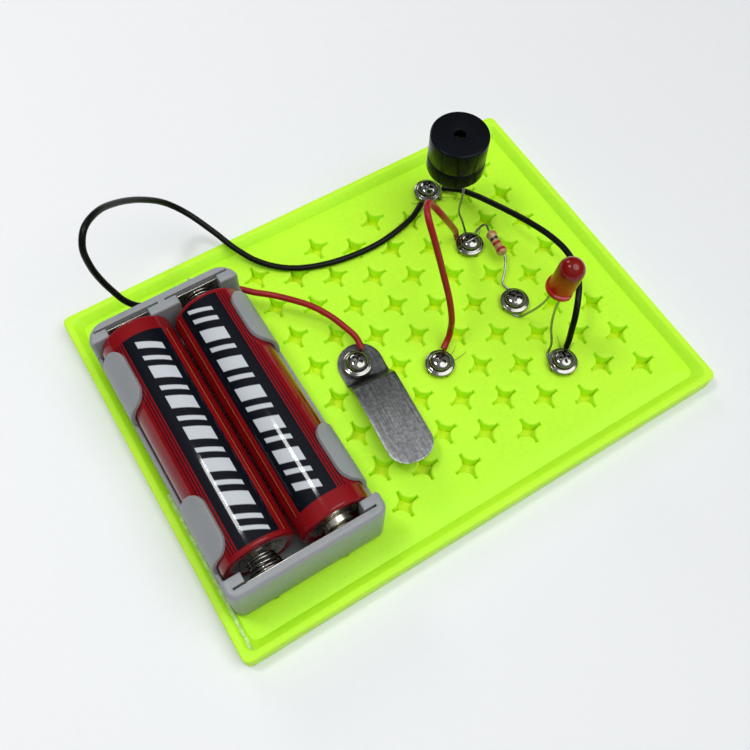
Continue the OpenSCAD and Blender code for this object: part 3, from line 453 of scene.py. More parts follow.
def lathe(profile, steps, shape=None):
    """A profile of (radius, height) turned about Z, from -X round; a zero radius makes a pole, and
    a profile that ends where it starts makes a ring. Gives vertices, faces and their corners' UV:
    U round, V along the height."""
    low = min(z for _, z in profile)
    tall = max(z for _, z in profile) - low
    verts, rows = [], []
    for i, (r, z) in enumerate(profile):
        if i and (r, z) == profile[0]:
            rows.append(rows[0])
            continue
        row = []
        for k in range(1 if r == 0 else steps):
            a = 2 * math.pi * k / steps - math.pi
            p = Vector((r * math.cos(a), r * math.sin(a), z))
            row.append(len(verts))
            verts.append(shape(p) if shape else p)
        rows.append(row)
    faces, uvs = [], []
    for (_, z0), (_, z1), lower, upper in zip(profile, profile[1:], rows, rows[1:]):
        v0, v1 = (z0 - low) / tall, (z1 - low) / tall
        for k in range(steps):
            n, u0, u1 = (k + 1) % steps, k / steps, (k + 1) / steps
            if len(lower) == 1 and len(upper) == 1:
                continue
            if len(lower) == 1:
                faces.append((lower[0], upper[n], upper[k]))
                uvs.append(((u0, v0), (u1, v1), (u0, v1)))
            elif len(upper) == 1:
                faces.append((lower[k], lower[n], upper[0]))
                uvs.append(((u0, v0), (u1, v0), (u0, v1)))
            else:
                faces.append((lower[k], lower[n], upper[n], upper[k]))
                uvs.append(((u0, v0), (u1, v0), (u1, v1), (u0, v1)))
    return verts, faces, uvs



def sheet_faces(rows, columns):
    """Faces of a thin closed sheet: a grid of points, the same grid on its other side, and the edge."""
    step = columns + 1
    other = (rows + 1) * step
    faces = []
    for i in range(rows):
        for k in range(columns):
            a = i * step + k
            faces.append((a, a + 1, a + step + 1, a + step))
            faces.append((other + a, other + a + step, other + a + step + 1, other + a + 1))
        for k in (0, columns):
            a = i * step + k
            faces.append((a, a + step, other + a + step, other + a))
    for k in range(columns):
        for i in (0, rows):
            a = i * step + k
            faces.append((a, other + a, other + a + 1, a + 1))
    return faces


def joined(*shapes):
    """Several shapes' vertices and faces as one."""
    verts, faces = [], []
    for shape in shapes:
        start = len(verts)
        verts += shape[0]
        faces += [tuple(i + start for i in face) for face in shape[1]]
    return verts, faces


def to_mesh(name, verts, faces, uvs=None, matrix=None, sharp=40.0, outward=True):
    mesh = bpy.data.meshes.new(name)
    mesh.from_pydata([matrix @ v for v in verts] if matrix else verts, [], faces)
    if uvs:
        layer = mesh.uv_layers.new(name="print")
        flat = [value for corners in uvs for corner in corners for value in corner]
        layer.data.foreach_set("uv", flat)
    return finished(mesh, sharp, outward)


def finished(mesh, sharp=40.0, outward=True):
    """Turns the faces outward and smooths all edges but the sharp ones."""
    if outward:
        bm = bmesh.new()
        bm.from_mesh(mesh)
        bmesh.ops.recalc_face_normals(bm, faces=bm.faces)
        bm.to_mesh(mesh)
        bm.free()
    mesh.polygons.foreach_set("use_smooth", [True] * len(mesh.polygons))
    mesh.set_sharp_from_angle(angle=math.radians(sharp))
    mesh.update()
    return mesh



def add_object(name, data):
    obj = bpy.data.objects.new(name, data)
    bpy.context.scene.collection.objects.link(obj)
    return obj


def applied(obj):
    """The mesh of an object with its modifiers, which are then removed."""
    mesh = bpy.data.meshes.new_from_object(obj.evaluated_get(bpy.context.evaluated_depsgraph_get()))
    obj.modifiers.clear()
    obj.data = mesh
    return mesh


def show(name, mesh, mat, slot, *nodes, body="base"):
    """A finished piece that rides on a body and stands for CAD nodes."""
    obj = add_object(name, mesh)
    mesh.materials.clear()
    mesh.materials.append(mat)
    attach(obj, body)
    if nodes:
        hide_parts(*nodes)
    return obj



def rounded(mesh, width, segments=2, angle=35.0):
    """The mesh with its sharp edges rounded."""
    obj = add_object("rounding", mesh)
    bevel = obj.modifiers.new("edges", "BEVEL")
    bevel.width = width * MM
    bevel.segments = segments
    bevel.limit_method = "ANGLE"
    bevel.angle_limit = math.radians(angle)
    out = applied(obj)
    bpy.data.objects.remove(obj)
    return finished(out, outward=False)


def softened(node, width):
    """A copy of a CAD node's mesh with rounded edges."""
    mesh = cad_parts[node].data.copy()
    bm = bmesh.new()
    bm.from_mesh(mesh)
    bmesh.ops.remove_doubles(bm, verts=bm.verts, dist=WELD)
    bmesh.ops.dissolve_limit(bm, angle_limit=math.radians(1.0), verts=bm.verts, edges=bm.edges)
    bm.to_mesh(mesh)
    bm.free()
    return rounded(mesh, width)


# Camera, solved from the star grid in the photo

FOCAL_LENGTH = 41.82
CAMERA_SPOT = (-49.4, -66.7, 156.5)
camera = add_object("camera", bpy.data.cameras.new("camera"))
camera.data.sensor_width = 36.0
camera.data.lens = FOCAL_LENGTH
camera.data.clip_start = 0.005
right, down, ahead = (Vector(v) for v in (
    (0.8497, -0.5266, 0.0275), (-0.4622, -0.7689, -0.4418), (0.2538, 0.3626, -0.8967)))
camera.matrix_world = Matrix.Translation(at(*CAMERA_SPOT)) @ Matrix(
    (right, -down, -ahead)).transposed().to_4x4()
bpy.context.scene.camera = camera


# Wires

WIRE_R = 0.65
black_battery = [
    (-28.5, 28.6, 9), (-30.5, 28.6, 9), (-33.5, 28.6, 8.9), (-36.6, 28.6, 8.8), (-39.2, 29.1, 9.5),
    (-41.1, 29.9, 11.7), (-42.4, 30.7, 15.2), (-43.5, 31.5, 19.2), (-44.1, 32.2, 23.4), (-43.9, 33.5, 27),
    (-42.2, 35.4, 29.2), (-38.8, 38.8, 27.8), (-33.8, 43.6, 22), (-28.4, 47.2, 15.2),
    (-24.2, 48.2, 10.2), (-20.9, 46.2, 6.8), (-17.7, 40.9, 4.2), (-15.5, 36, 2.7), (-12.6, 31.4, 1.5),
    (-7.6, 27, 0.8), (0.4, 23.8, 0.7), (11, 22.7, 0.7), (18, 23.7, 0.7),
    lift(MINUS, -6.7, -4.2, 0.8), lift(MINUS, -3.1, -2.2, 0.85)]
red_battery = [
    (-42.5, 28.6, 4), (-40, 28.6, 4), (-37, 28.6, 4), (-33, 28.6, 4), (-29, 28.7, 4.1),
    (-25.2, 28.5, 4.3), (-22, 27.4, 4.6), (-19.7, 25.3, 4.8), (-17.6, 22.9, 5.1), (-15.2, 20.6, 5.4),
    (-12.3, 17.6, 5.4), (-9.4, 14.4, 5), (-7.1, 10.9, 4.2), (-5.6, 7.6, 3.3),
    lift(KEY, 2.6, 4.9, 2.3), lift(KEY, 2.5, 2.3, 1.55)]
red_jump = [
    lift(CONTACT, 2.4, 2.4, 1), lift(CONTACT, 3.74, 3.2, 1.5), (11.7, -4.6, 2.3), (12.3, -4, 4),
    (12.2, -3.9, 7.4), (12.2, -2.3, 12.2), (12, 1, 18.6), (11.3, 4, 25.9), (11.5, 6.7, 28.9),
    (12.5, 8.7, 29.1), (13.8, 9.9, 28.2), (15.1, 10, 26.2), (16.5, 9.1, 23.8), (20, 10.2, 17),
    (23.2, 11.8, 10.6), lift(JUNCTION, -3.4, 1.6, 6), lift(JUNCTION, -2, 2.9, 3.2),
    lift(JUNCTION, -1.5, 3.1, 1.4)]
black_jump = [
    lift(LAMP_MINUS, 2.55, 2.2, 0.95), lift(LAMP_MINUS, 3.3, 2.8, 2.4), (32.6, -17.2, 4.8), (33.7, -16, 7.2),
    (35.6, -13.8, 9), (37.8, -11, 9.7), (39.5, -7.4, 10), (40.2, -3.4, 10), (39.9, 1.3, 9.5),
    (38.9, 6.5, 8.5), (37.8, 11.7, 7), (36.8, 17, 5), (36, 21.4, 3.1),
    lift(MINUS, 6.1, -4, 1.6), lift(MINUS, 3.3, -0.9, 0.85)]


def lay_wire(name, route, mat, slot, node):
    line = curve_through([at(*p) for p in route], 5)
    obj = show(name, to_mesh(name, *tube(line, WIRE_R * MM, 16)), mat, slot, node)


lay_wire("black_battery_lead", black_battery, black_pvc, "wire_black", "black_battery_wire")
lay_wire("red_battery_lead", red_battery, red_pvc, "wire_red", "red_battery_wire")
lay_wire("red_jump_lead", red_jump, red_pvc, "wire_red", "red_jumper")
lay_wire("black_jump_lead", black_jump, black_pvc, "wire_black", "black_jumper")


# Stripped ends of the wires, and loose strands beside the screws

def bare_end(route, screw, side, y1, y2, z):
    """The route of a wire's bare end, from inside its insulation to its place under a screw."""
    end, before = Vector(route[-1]), Vector(route[-2])
    out = (Vector(end[:2]) - Vector(screw)).normalized() * (FLANGE_R + LEAD_R + CLAMP_GAP)
    return [end + (before - end).normalized() * 0.4, end, Vector(lift(screw, *out, z)),
            Vector(lift(screw, side * CLAMP_SIDE, y1, z)), Vector(lift(screw, side * CLAMP_SIDE, y2, z))]


def twisted(route, strands, strand_r, lay_r, turn_length):
    """Fine strands twisted round a route."""
    line = curve_through([at(*p) for p in route], 7)
    gone, marks = 0.0, []
    for i, (p, normal, other) in enumerate(frames_along(line)):
        gone += (p - line[i - 1]).length if i else 0.0
        marks.append((p, normal, other, gone))
    shapes = []
    for k in range(strands):
        own = []
        for p, n, o, s in marks:
            a = 2 * math.pi * (k / strands + s / (turn_length * MM))
            own.append(p + (n * math.cos(a) + o * math.sin(a)) * lay_r * MM)
        shapes.append(tube(own, strand_r * MM, 6))
    return shapes



def wisp(points, strand_r=0.07):
    """A loose strand that thins towards its end."""
    line = curve_through([at(*p) for p in points], 5)
    return tube(line, [strand_r * MM * (1.0 - 0.25 * i / len(line)) for i in range(len(line))], 6)


bare_routes = [
    bare_end(black_battery, MINUS, -1, -1.4, 1.4, CLAMP_Z),
    bare_end(black_jump, MINUS, 1, -0.6, 1.6, CLAMP_Z),
    bare_end(red_battery, KEY, 1, 1.3, -1.2, KEY_CLAMP_Z),
    bare_end(red_jump[::-1], CONTACT, 1, 1.2, -1.4, CLAMP_Z),
    bare_end(red_jump, JUNCTION, -1, 1.7, -1.6, CLAMP_Z),
    bare_end(black_jump[::-1], LAMP_MINUS, 1, 1.3, -1.4, CLAMP_Z)]
loose_strands = {
    CONTACT: (((2.2, 1.6, 0.3), (3.6, 2.4, 0.5), (4.7, 3.4, 1.2)),
              ((2.4, 0.4, 0.3), (3.8, 0.9, 0.5), (5.0, 1.7, 0.9)),
              ((2.4, -0.6, 0.3), (4.0, -0.7, 0.4), (6.2, -0.4, 0.5))),
    MINUS: (((-2.2, -1.2, 0.3), (-3.6, -1.4, 0.4), (-4.8, -0.9, 0.8)),
            ((-1.8, -2.2, 0.3), (-2.8, -3.2, 0.4), (-3.2, -4.5, 0.5)),
            ((1.4, -2.4, 0.3), (2.6, -3.2, 0.5), (4.6, -4.6, 0.8)),
            ((2.3, -0.9, 0.3), (3.6, -2.2, 0.4), (5.3, -3.0, 0.3))),
    LAMP_MINUS: (((1.4, 2.4, 0.3), (2.0, 3.5, 0.5), (2.3, 5.2, 1.5)),
                 ((2.4, 1.2, 0.3), (3.6, 1.9, 0.6), (4.4, 2.2, 1.2)))}
wisps = [wisp(about(screw, *offsets)) for screw, strands in loose_strands.items() for offsets in strands]
bundles = [strand for route in bare_routes for strand in twisted(route, 7, 0.085, 0.165, 3.4)]
show("stripped_strands", to_mesh("stripped_strands", *joined(*bundles, *wisps), outward=False), copper,
     "copper", "stripped_wire_ends")


# Bent leads of the buzzer, the lamp and the resistor

BUZZER = (JUNCTION[0] + 1.85, JUNCTION[1] + 10.95)
BUZZER_Z = 14.2
PIN = 3.8
PLUS_PIN = (BUZZER[0], BUZZER[1] - PIN)
MINUS_PIN = (BUZZER[0], BUZZER[1] + PIN)
LAMP = (LAMP_PLUS[0] - 1.35, LAMP_PLUS[1] - 10.25)
LENS_Z = 21.0
LAMP_TURN = math.radians(118)
LEG = (1.27 * math.cos(LAMP_TURN), 1.27 * math.sin(LAMP_TURN))
ANODE = (LAMP[0] + LEG[0], LAMP[1] + LEG[1])
CATHODE = (LAMP[0] - LEG[0], LAMP[1] - LEG[1])
RESISTOR_L = 6.2
RESISTOR_MID = Vector((JUNCTION[0] + 4.2, (JUNCTION[1] + LAMP_PLUS[1]) / 2 + 4.65, 2.8))
RESISTOR_DIR = Vector((-0.12, -1.0, 0.0)).normalized()
RESISTOR_START = RESISTOR_MID - RESISTOR_DIR * RESISTOR_L / 2
RESISTOR_END = RESISTOR_MID + RESISTOR_DIR * RESISTOR_L / 2



def across(screw, side, x1, x2):
    """Two points of a lead that lies under a screw's flange along X; beside() is along Y."""
    return about(screw, (x1, side * CLAMP_SIDE, CLAMP_Z), (x2, side * CLAMP_SIDE, CLAMP_Z))


def beside(screw, side, y1, y2):
    return about(screw, (side * CLAMP_SIDE, y1, CLAMP_Z), (side * CLAMP_SIDE, y2, CLAMP_Z))


lead_routes = {
    "buzzer_plus_leg": [
        *about(PLUS_PIN, (0, 0, BUZZER_Z + 0.9), (0, 0, BUZZER_Z - 1), (-1.3, -1.5, BUZZER_Z - 3.6),
               (-2.1, -2.1, BUZZER_Z - 7.2)),
        *about(JUNCTION, (0.7, 4.5, 3.6), (1.3, 3.3, CLAMP_Z)), *across(JUNCTION, 1, 1, -0.8)],
    "buzzer_minus_leg": [
        *about(MINUS_PIN, (0, 0, BUZZER_Z + 0.9), (0, 0, BUZZER_Z - 1), (-0.3, -0.4, BUZZER_Z - 4)),
        *about(MINUS, (1.1, -2.8, 5), (1.5, -3.1, CLAMP_Z)), *across(MINUS, -1, 1, -0.9)],
    "led_anode_lead": [
        *about(ANODE, (0, 0, LENS_Z + 2.4), (0, 0, LENS_Z - 1), (-0.3, 0, LENS_Z - 4)),
        *about(LAMP_PLUS, (-1.2, -7, 9.5), (-0.4, -4.6, 3), (-0.9, -3.4, CLAMP_Z)),
        *beside(LAMP_PLUS, -1, -2.3, 1.2)],
    "led_cathode_lead": [
        *about(CATHODE, (0, 0, LENS_Z + 2.4), (0, 0, LENS_Z - 1), (-0.5, 0.4, LENS_Z - 4)),
        *about(LAMP_MINUS, (-0.7, 5.4, 8), (-0.3, 3.9, 2), (-1.3, 3.2, CLAMP_Z)),
        *beside(LAMP_MINUS, -1, 2, -1.4)]}
resistor_routes = [
    [RESISTOR_START + RESISTOR_DIR * 0.6, RESISTOR_START - RESISTOR_DIR * 0.5,
     *about(JUNCTION, (5, 1.7, 2.5), (4.2, 2.2, 1.5), (2.8, 2, CLAMP_Z)), *beside(JUNCTION, 1, 1, -1.4)],
    [RESISTOR_END - RESISTOR_DIR * 0.6, RESISTOR_END + RESISTOR_DIR * 0.5,
     *about(LAMP_PLUS, (3.1, 8, 2.2), (1.7, 6.3, 1.4), (0.5, 5, 0.8), (0.8, 3.6, CLAMP_Z)),
     *beside(LAMP_PLUS, 1, 1.8, -1.4)]]


def lead(route):
    return tube(curve_through([at(*p) for p in route], 5), LEAD_R * MM, 12)


for node, route in lead_routes.items():
    show(node + "_wire", to_mesh(node, *lead(route)), tinned, "lead_tin", node)
over_head = wisp(about(JUNCTION, (-3.3, 0.3, 1.0), (-2.0, -0.1, 2.5), (0.0, -0.3, 3.02), (1.9, 0.0, 2.6),
                       (3.1, 1.0, 1.5), (4.2, 2.2, 1.5)), 0.13)
show("resistor_lead_wires", to_mesh("resistor_lead_wires", *joined(*map(lead, resistor_routes), over_head)),
     tinned, "lead_tin", "resistor_leads")


# Board: a plate with star wells in hexagonal tiles, inside a rim with a sloped inner wall

HALF_L, HALF_W = 53.5, 39.5
RIM_H = 1.4
OUTER_CORNER_R, INNER_CORNER_R = 1.5, 1.7
STAR_REACH, LOBE_R, LOBE_AT = 2.75, 2.1, 2.3  # a star is what four round lobes leave free


def star_ring(grow, z, cuts=9):
    """The outline of a star hole, grown by so much, as points round it."""
    reach, lobe_r, lobe_at = STAR_REACH + grow, LOBE_R - grow, LOBE_AT
    tip = lobe_at - math.sqrt(lobe_r ** 2 - (reach - lobe_at) ** 2)
    first = math.atan2(tip - lobe_at, reach - lobe_at)
    last = -math.pi - math.atan2(reach - lobe_at, lobe_at - tip)
    ring = []
    for quarter in range(4):
        turn = Matrix.Rotation(quarter * math.pi / 2, 3, "Z")
        for i in range(cuts + 1):
            a = first + (last - first) * i / cuts
            x, y = lobe_at + lobe_r * math.cos(a), lobe_at + lobe_r * math.sin(a)
            ring.append(turn @ Vector((x, y, z)))
    return ring


def add_ring(bm, ring):
    verts = [bm.verts.new(p * MM) for p in ring]
    return verts, [bm.edges.new((a, b)) for a, b in zip(verts, verts[1:] + verts[:1])]


def bridge(bm, lower, upper):
    for i in range(len(lower)):
        j = (i + 1) % len(lower)
        bm.faces.new((lower[i], lower[j], upper[j], upper[i]))


def star_tile():
    """One star well with a soft lip, in the middle of its hexagonal part of the floor."""
    bm = bmesh.new()
    reach = PITCH / 2 / math.cos(math.pi / 6)
    corners = [Vector((reach * math.cos(a), reach * math.sin(a), FLOOR))
               for a in (i * math.pi / 3 for i in range(6))]
    _, edge = add_ring(bm, corners)
    lip, lip_edge = add_ring(bm, star_ring(0.42, FLOOR))
    bmesh.ops.triangle_fill(bm, use_beauty=True, edges=edge + lip_edge)
    for grow, z in ((0.27, FLOOR - 0.03), (0.15, FLOOR - 0.10), (0.06, FLOOR - 0.24), (0.0, FLOOR - 0.5),
                    (-0.04, WEB_T + 0.15), (-0.12, WEB_T)):
        below, _ = add_ring(bm, star_ring(grow, z))
        bridge(bm, lip, below)
        lip = below
    bm.faces.new(lip)
    mesh = bpy.data.meshes.new("star_tile")
    bm.to_mesh(mesh)
    bm.free()
    return add_object("star_tile", mesh)



def geometry_tree(name, inputs):
    group = node_group("GeometryNodeTree", name, inputs, [("Geometry", "NodeSocketGeometry")])
    group[0].is_modifier = True
    return group


def put_on_points(tree, given, out, points, piece_label, **turn):
    """Instances an input object on points, makes them real and gives them their finish."""
    piece = add_node(tree, "GeometryNodeObjectInfo", As_Instance=True, Object=given.outputs[piece_label])
    placed = add_node(tree, "GeometryNodeInstanceOnPoints", Points=points, Instance=piece.outputs["Geometry"],
                      **turn)
    real = add_node(tree, "GeometryNodeRealizeInstances", Geometry=placed.outputs["Instances"])
    painted = add_node(tree, "GeometryNodeSetMaterial", Geometry=real.outputs["Geometry"],
                       Material=given.outputs["Finish"])
    feed(tree, out.inputs["Geometry"], painted.outputs["Geometry"])


def grown(obj, tree, names, **inputs):
    """The mesh that a tree of geometry nodes makes of an object, which is then removed."""
    growth = obj.modifiers.new(tree.name, "NODES")
    growth.node_group = tree
    for label, value in inputs.items():
        growth[names[label]] = value
    mesh = applied(obj)
    bpy.data.objects.remove(obj)
    return mesh


def make_star_field(tile):
    """Tiles on a lattice: long columns, and between them columns with one tile less."""
    tree, given, out, names = geometry_tree("star_field", [
        ("Tile", "NodeSocketObject", None), ("Pitch", "NodeSocketFloat", PITCH * MM),
        ("Long columns", "NodeSocketInt", 7), ("Long rows", "NodeSocketInt", 8),
        ("Finish", "NodeSocketMaterial", None)])
    both = tree.nodes.new("GeometryNodeJoinGeometry")
    for fewer in (0, 1):
        columns = arith(tree, "SUBTRACT", given.outputs["Long columns"], fewer)
        rows = arith(tree, "SUBTRACT", given.outputs["Long rows"], fewer)
        spans_x = arith(tree, "MULTIPLY", arith(tree, "SUBTRACT", columns, 1.0), math.sqrt(3))
        spans_y = arith(tree, "SUBTRACT", rows, 1.0)
        grid = add_node(tree, "GeometryNodeMeshGrid", Vertices_X=columns, Vertices_Y=rows,
                        Size_X=arith(tree, "MULTIPLY", spans_x, given.outputs["Pitch"]),
                        Size_Y=arith(tree, "MULTIPLY", spans_y, given.outputs["Pitch"]))
        feed(tree, both.inputs[0], grid.outputs["Mesh"])
    put_on_points(tree, given, out, both.outputs[0], "Tile")
    field = add_object("star_field", bpy.data.meshes.new("star_field"))
    mesh = grown(field, tree, names, Tile=tile, Finish=lime)
    bpy.data.objects.remove(tile)
    return mesh


def rim_ring(inset, z, cuts=6):
    """The board's outline, drawn in by so much; the rim's inner wall has its own corner radius."""
    r = OUTER_CORNER_R - inset if inset < 1.0 else INNER_CORNER_R
    ring = []
    for cx, cy, start in ((1, 1, 0), (-1, 1, 90), (-1, -1, 180), (1, -1, 270)):
        for i in range(cuts + 1):
            a = math.radians(start + 90 * i / cuts)
            ring.append(Vector((cx * (HALF_L - inset - r) + r * math.cos(a),
                                cy * (HALF_W - inset - r) + r * math.sin(a), z)))
    return ring


def make_board():
    bm = bmesh.new()
    bm.from_mesh(make_star_field(star_tile()))
    bmesh.ops.remove_doubles(bm, verts=bm.verts, dist=WELD)
    outline = [e for e in bm.edges if len(e.link_faces) == 1]
    top = FLOOR + RIM_H
    profile = [(0.35, 0.0), (0.1, 0.1), (0.0, 0.35), (0.0, top - 0.5), (0.05, top - 0.25), (0.17, top - 0.08),
               (0.4, top), (1.2, top), (1.36, top - 0.04), (1.48, top - 0.13), (2.88, FLOOR + 0.04),
               (2.95, FLOOR - 0.06), (3.0, FLOOR - 0.06), (3.1, FLOOR)]
    ring, _ = add_ring(bm, rim_ring(*profile[0]))
    bm.faces.new(ring)
    for inset, z in profile[1:]:
        above, edges = add_ring(bm, rim_ring(inset, z))
        bridge(bm, ring, above)
        ring = above
    bmesh.ops.triangle_fill(bm, use_beauty=True, edges=outline + edges)
    mesh = bpy.data.meshes.new("star_board")
    bm.to_mesh(mesh)
    bm.free()
    return finished(mesh, 32.0)


show("star_board", make_board(), lime, "board_lime", "base_board")


# Screws: a cross-recessed dome on a flange, all from one shape

SCREW_SEED = 4  # sets how each screw's cross is turned


def screw_shape():
    steps, rings = 72, 22
    dome_r, dome_z, dome_h = 2.1, 1.45, 0.85
    arm_half, arm_reach, depth = 0.30, 1.22, 0.75
    profile = [(0.0, -3.1), (0.7, -2.9)]
    profile += [(1.28 if i % 2 else 1.04, -2.8 + 0.2 * i) for i in range(13)]
    profile += [(1.25, -0.1), (1.3, 0.0), (2.82, 0.0), (2.97, 0.07), (3.0, 0.2), (3.0, 0.5), (2.96, 0.62),
                (2.84, 0.69), (2.5, 0.72), (2.26, 0.76), (2.14, 0.84), (2.1, 0.95), (2.1, 1.45)]
    profile += [(dome_r * math.sin(math.pi / 2 * (1 - i / rings)) if i < rings else 0.0,
                 dome_z + dome_h * math.cos(math.pi / 2 * (1 - i / rings))) for i in range(1, rings + 1)]

    def recess(p):
        if p.z < 1.4:
            return p
        arms = [(abs(p.x), abs(p.y)), (abs(p.y), abs(p.x))]
        inside = max(min((arm_half - a) / 0.1, (arm_reach - b) / 0.16) for a, b in arms)
        cut = min(max(inside, 0.0), 1.0)
        return Vector((p.x, p.y, p.z - depth * cut * cut * (3 - 2 * cut)))

    mesh = to_mesh("cross_screw", *lathe([(r * MM, z * MM) for r, z in profile], steps)[:2], sharp=45.0)
    for v in mesh.vertices:
        v.co = recess(v.co / MM) * MM
    return finished(mesh, 50.0)


def make_screws():
    screw = add_object("cross_screw", screw_shape())
    spots = about(KEY, (0, 0, KEY_FLANGE_Z))
    spots += [lift(s, 0, 0, FLANGE_Z) for s in (CONTACT, MINUS, JUNCTION, LAMP_PLUS, LAMP_MINUS)]
    points = bpy.data.meshes.new("screw_spots")
    points.from_pydata([at(*p) for p in spots], [], [])
    tree, given, out, names = geometry_tree("screws_on_spots", [
        ("Geometry", "NodeSocketGeometry", None), ("Screw", "NodeSocketObject", None),
        ("Seed", "NodeSocketInt", SCREW_SEED), ("Finish", "NodeSocketMaterial", None)])
    turn = add_node(tree, "FunctionNodeRandomValue", data_type="FLOAT_VECTOR", Min=(0.0, 0.0, 0.0),
                    Max=(0.0, 0.0, math.pi), Seed=given.outputs["Seed"])
    put_on_points(tree, given, out, given.outputs["Geometry"], "Screw", Rotation=turn.outputs["Value"])
    mesh = grown(add_object("screws", points), tree, names, Screw=screw, Seed=SCREW_SEED, Finish=nickel)
    bpy.data.objects.remove(screw)
    return finished(mesh, 50.0, outward=False)


show("flanged_screws", make_screws(), nickel, "screw_nickel", "terminal_screws", "key_screw")


# Battery holder and its snap tabs

CELL_R = 7.05
CELL_Z = 9.15
LEFT_X, RIGHT_X = -42.7, -28.3
HOLDER_Y0, HOLDER_Y1 = -32.0, 27.0
HOLDER_WALL = 0.9
TAB_IN_R = CELL_R + 0.15
TAB_OUT_R = TAB_IN_R + HOLDER_WALL
TAB_L = 12.4
TAB_INSET = 13.6
TAB_ROOT = 0.8 + 7.2 - CELL_Z
TAB_TOP = math.radians(60)

HOLDER_X0, HOLDER_X1 = -50.8, -20.2
BAY_Y0, BAY_Y1 = -28.0, 23.0
FRONT_PLATE_Y, BACK_PLATE_Y = -29.9, 24.9
BAY_FLOOR, SIDE_TOP, END_TOP = 2.0, 8.0, 14.0
WINDOW_HALF, SLOT_HALF = 4.2, 6.5


def holder_ring(inset, z, cuts=9):
    """The holder's outline, drawn in by so much; its corners are rounder at the back."""
    ring = []
    for x, y, r, start in ((HOLDER_X1, HOLDER_Y1, 4.0, 0), (HOLDER_X0, HOLDER_Y1, 4.0, 90),
                           (HOLDER_X0, HOLDER_Y0, 2.0, 180), (HOLDER_X1, HOLDER_Y0, 2.0, 270)):
        mid_x = x + (r if x == HOLDER_X0 else -r)
        mid_y = y + (r if y == HOLDER_Y0 else -r)
        for i in range(-1, cuts + 2):
            a = math.radians(start + 90 * min(max(i, 0), cuts) / cuts)
            past = 0.06 * (i - min(max(i, 0), cuts))
            ring.append(at(mid_x + (r - inset) * math.cos(a) - past * math.sin(a),
                           mid_y + (r - inset) * math.sin(a) + past * math.cos(a), z))
    return ring


def stacked(rings):
    """A closed body through rings of points, one above the other."""
    n = len(rings[0])
    verts = [p for ring in rings for p in ring]
    faces = [tuple(range(n - 1, -1, -1)), tuple(range(len(verts) - n, len(verts)))]
    for low in range(0, len(verts) - n, n):
        faces += [(low + k, low + (k + 1) % n, low + n + (k + 1) % n, low + n + k) for k in range(n)]
    return verts, faces


def oblong(x0, x1, y0, y1, z):
    return [at(x, y, z) for x, y in ((x0, y0), (x1, y0), (x1, y1), (x0, y1))]


def well(x0, x1, y0, y1, flare):
    """A cutter for a well down to the bay's floor, with a mouth that opens in a round edge."""
    steps = [(0.0, BAY_FLOOR)]
    steps += [(flare * (1 - math.cos(a)), END_TOP - flare * (1 - math.sin(a))) for a in quarter(5)]
    steps.append((flare, END_TOP + 1.0))
    return stacked([oblong(x0 - grow, x1 + grow, y0 - grow, y1 + grow, z) for grow, z in steps])


def over_sides():
    """A cutter that lowers the side walls and leaves them a round top."""
    soft = ((0.0, -0.3), (0.04, -0.15), (0.15, -0.04), (0.3, 0.0), (0.6, 0.0), (0.75, -0.04), (0.86, -0.15),
            (0.9, -0.3))
    section = [(HOLDER_X0 - 1, SIDE_TOP - 0.3)] + [(HOLDER_X0 + dx, SIDE_TOP + dz) for dx, dz in soft]
    section += [(HOLDER_X1 - dx, SIDE_TOP + dz) for dx, dz in reversed(soft)]
    section += [(HOLDER_X1 + 1, SIDE_TOP - 0.3), (HOLDER_X1 + 1, END_TOP + 1), (HOLDER_X0 - 1, END_TOP + 1)]
    return stacked([[at(x, y, z) for x, z in section] for y in (BAY_Y0, BAY_Y1)])


def off_corner(x, y, in_x, in_y, r=0.8):
    """A cutter that rounds an upright edge of an end block, where the side wall drops."""
    arc = [(x + in_x * r * (1 - math.cos(a)), y + in_y * r * (1 - math.sin(a))) for a in quarter(6)]
    outline = [(x - in_x * 0.1, y + in_y * r), *arc, (x + in_x * r, y - in_y * 0.1),
               (x - in_x * 0.1, y - in_y * 0.1)]
    return stacked([[at(px, py, z) for px, py in outline] for z in (SIDE_TOP, END_TOP + 1)])


def cut_away(shape, cutters):
    """A body with cutters taken out of it, one after another."""
    objects = [add_object("cut", to_mesh("cut", *part)) for part in (shape, *cutters)]
    for tool in objects[1:]:
        cut = objects[0].modifiers.new("cut", "BOOLEAN")
        cut.solver = "EXACT"
        cut.object = tool
    mesh = applied(objects[0])
    for obj in objects:
        bpy.data.objects.remove(obj)
    return finished(mesh, 34.0, outward=False)


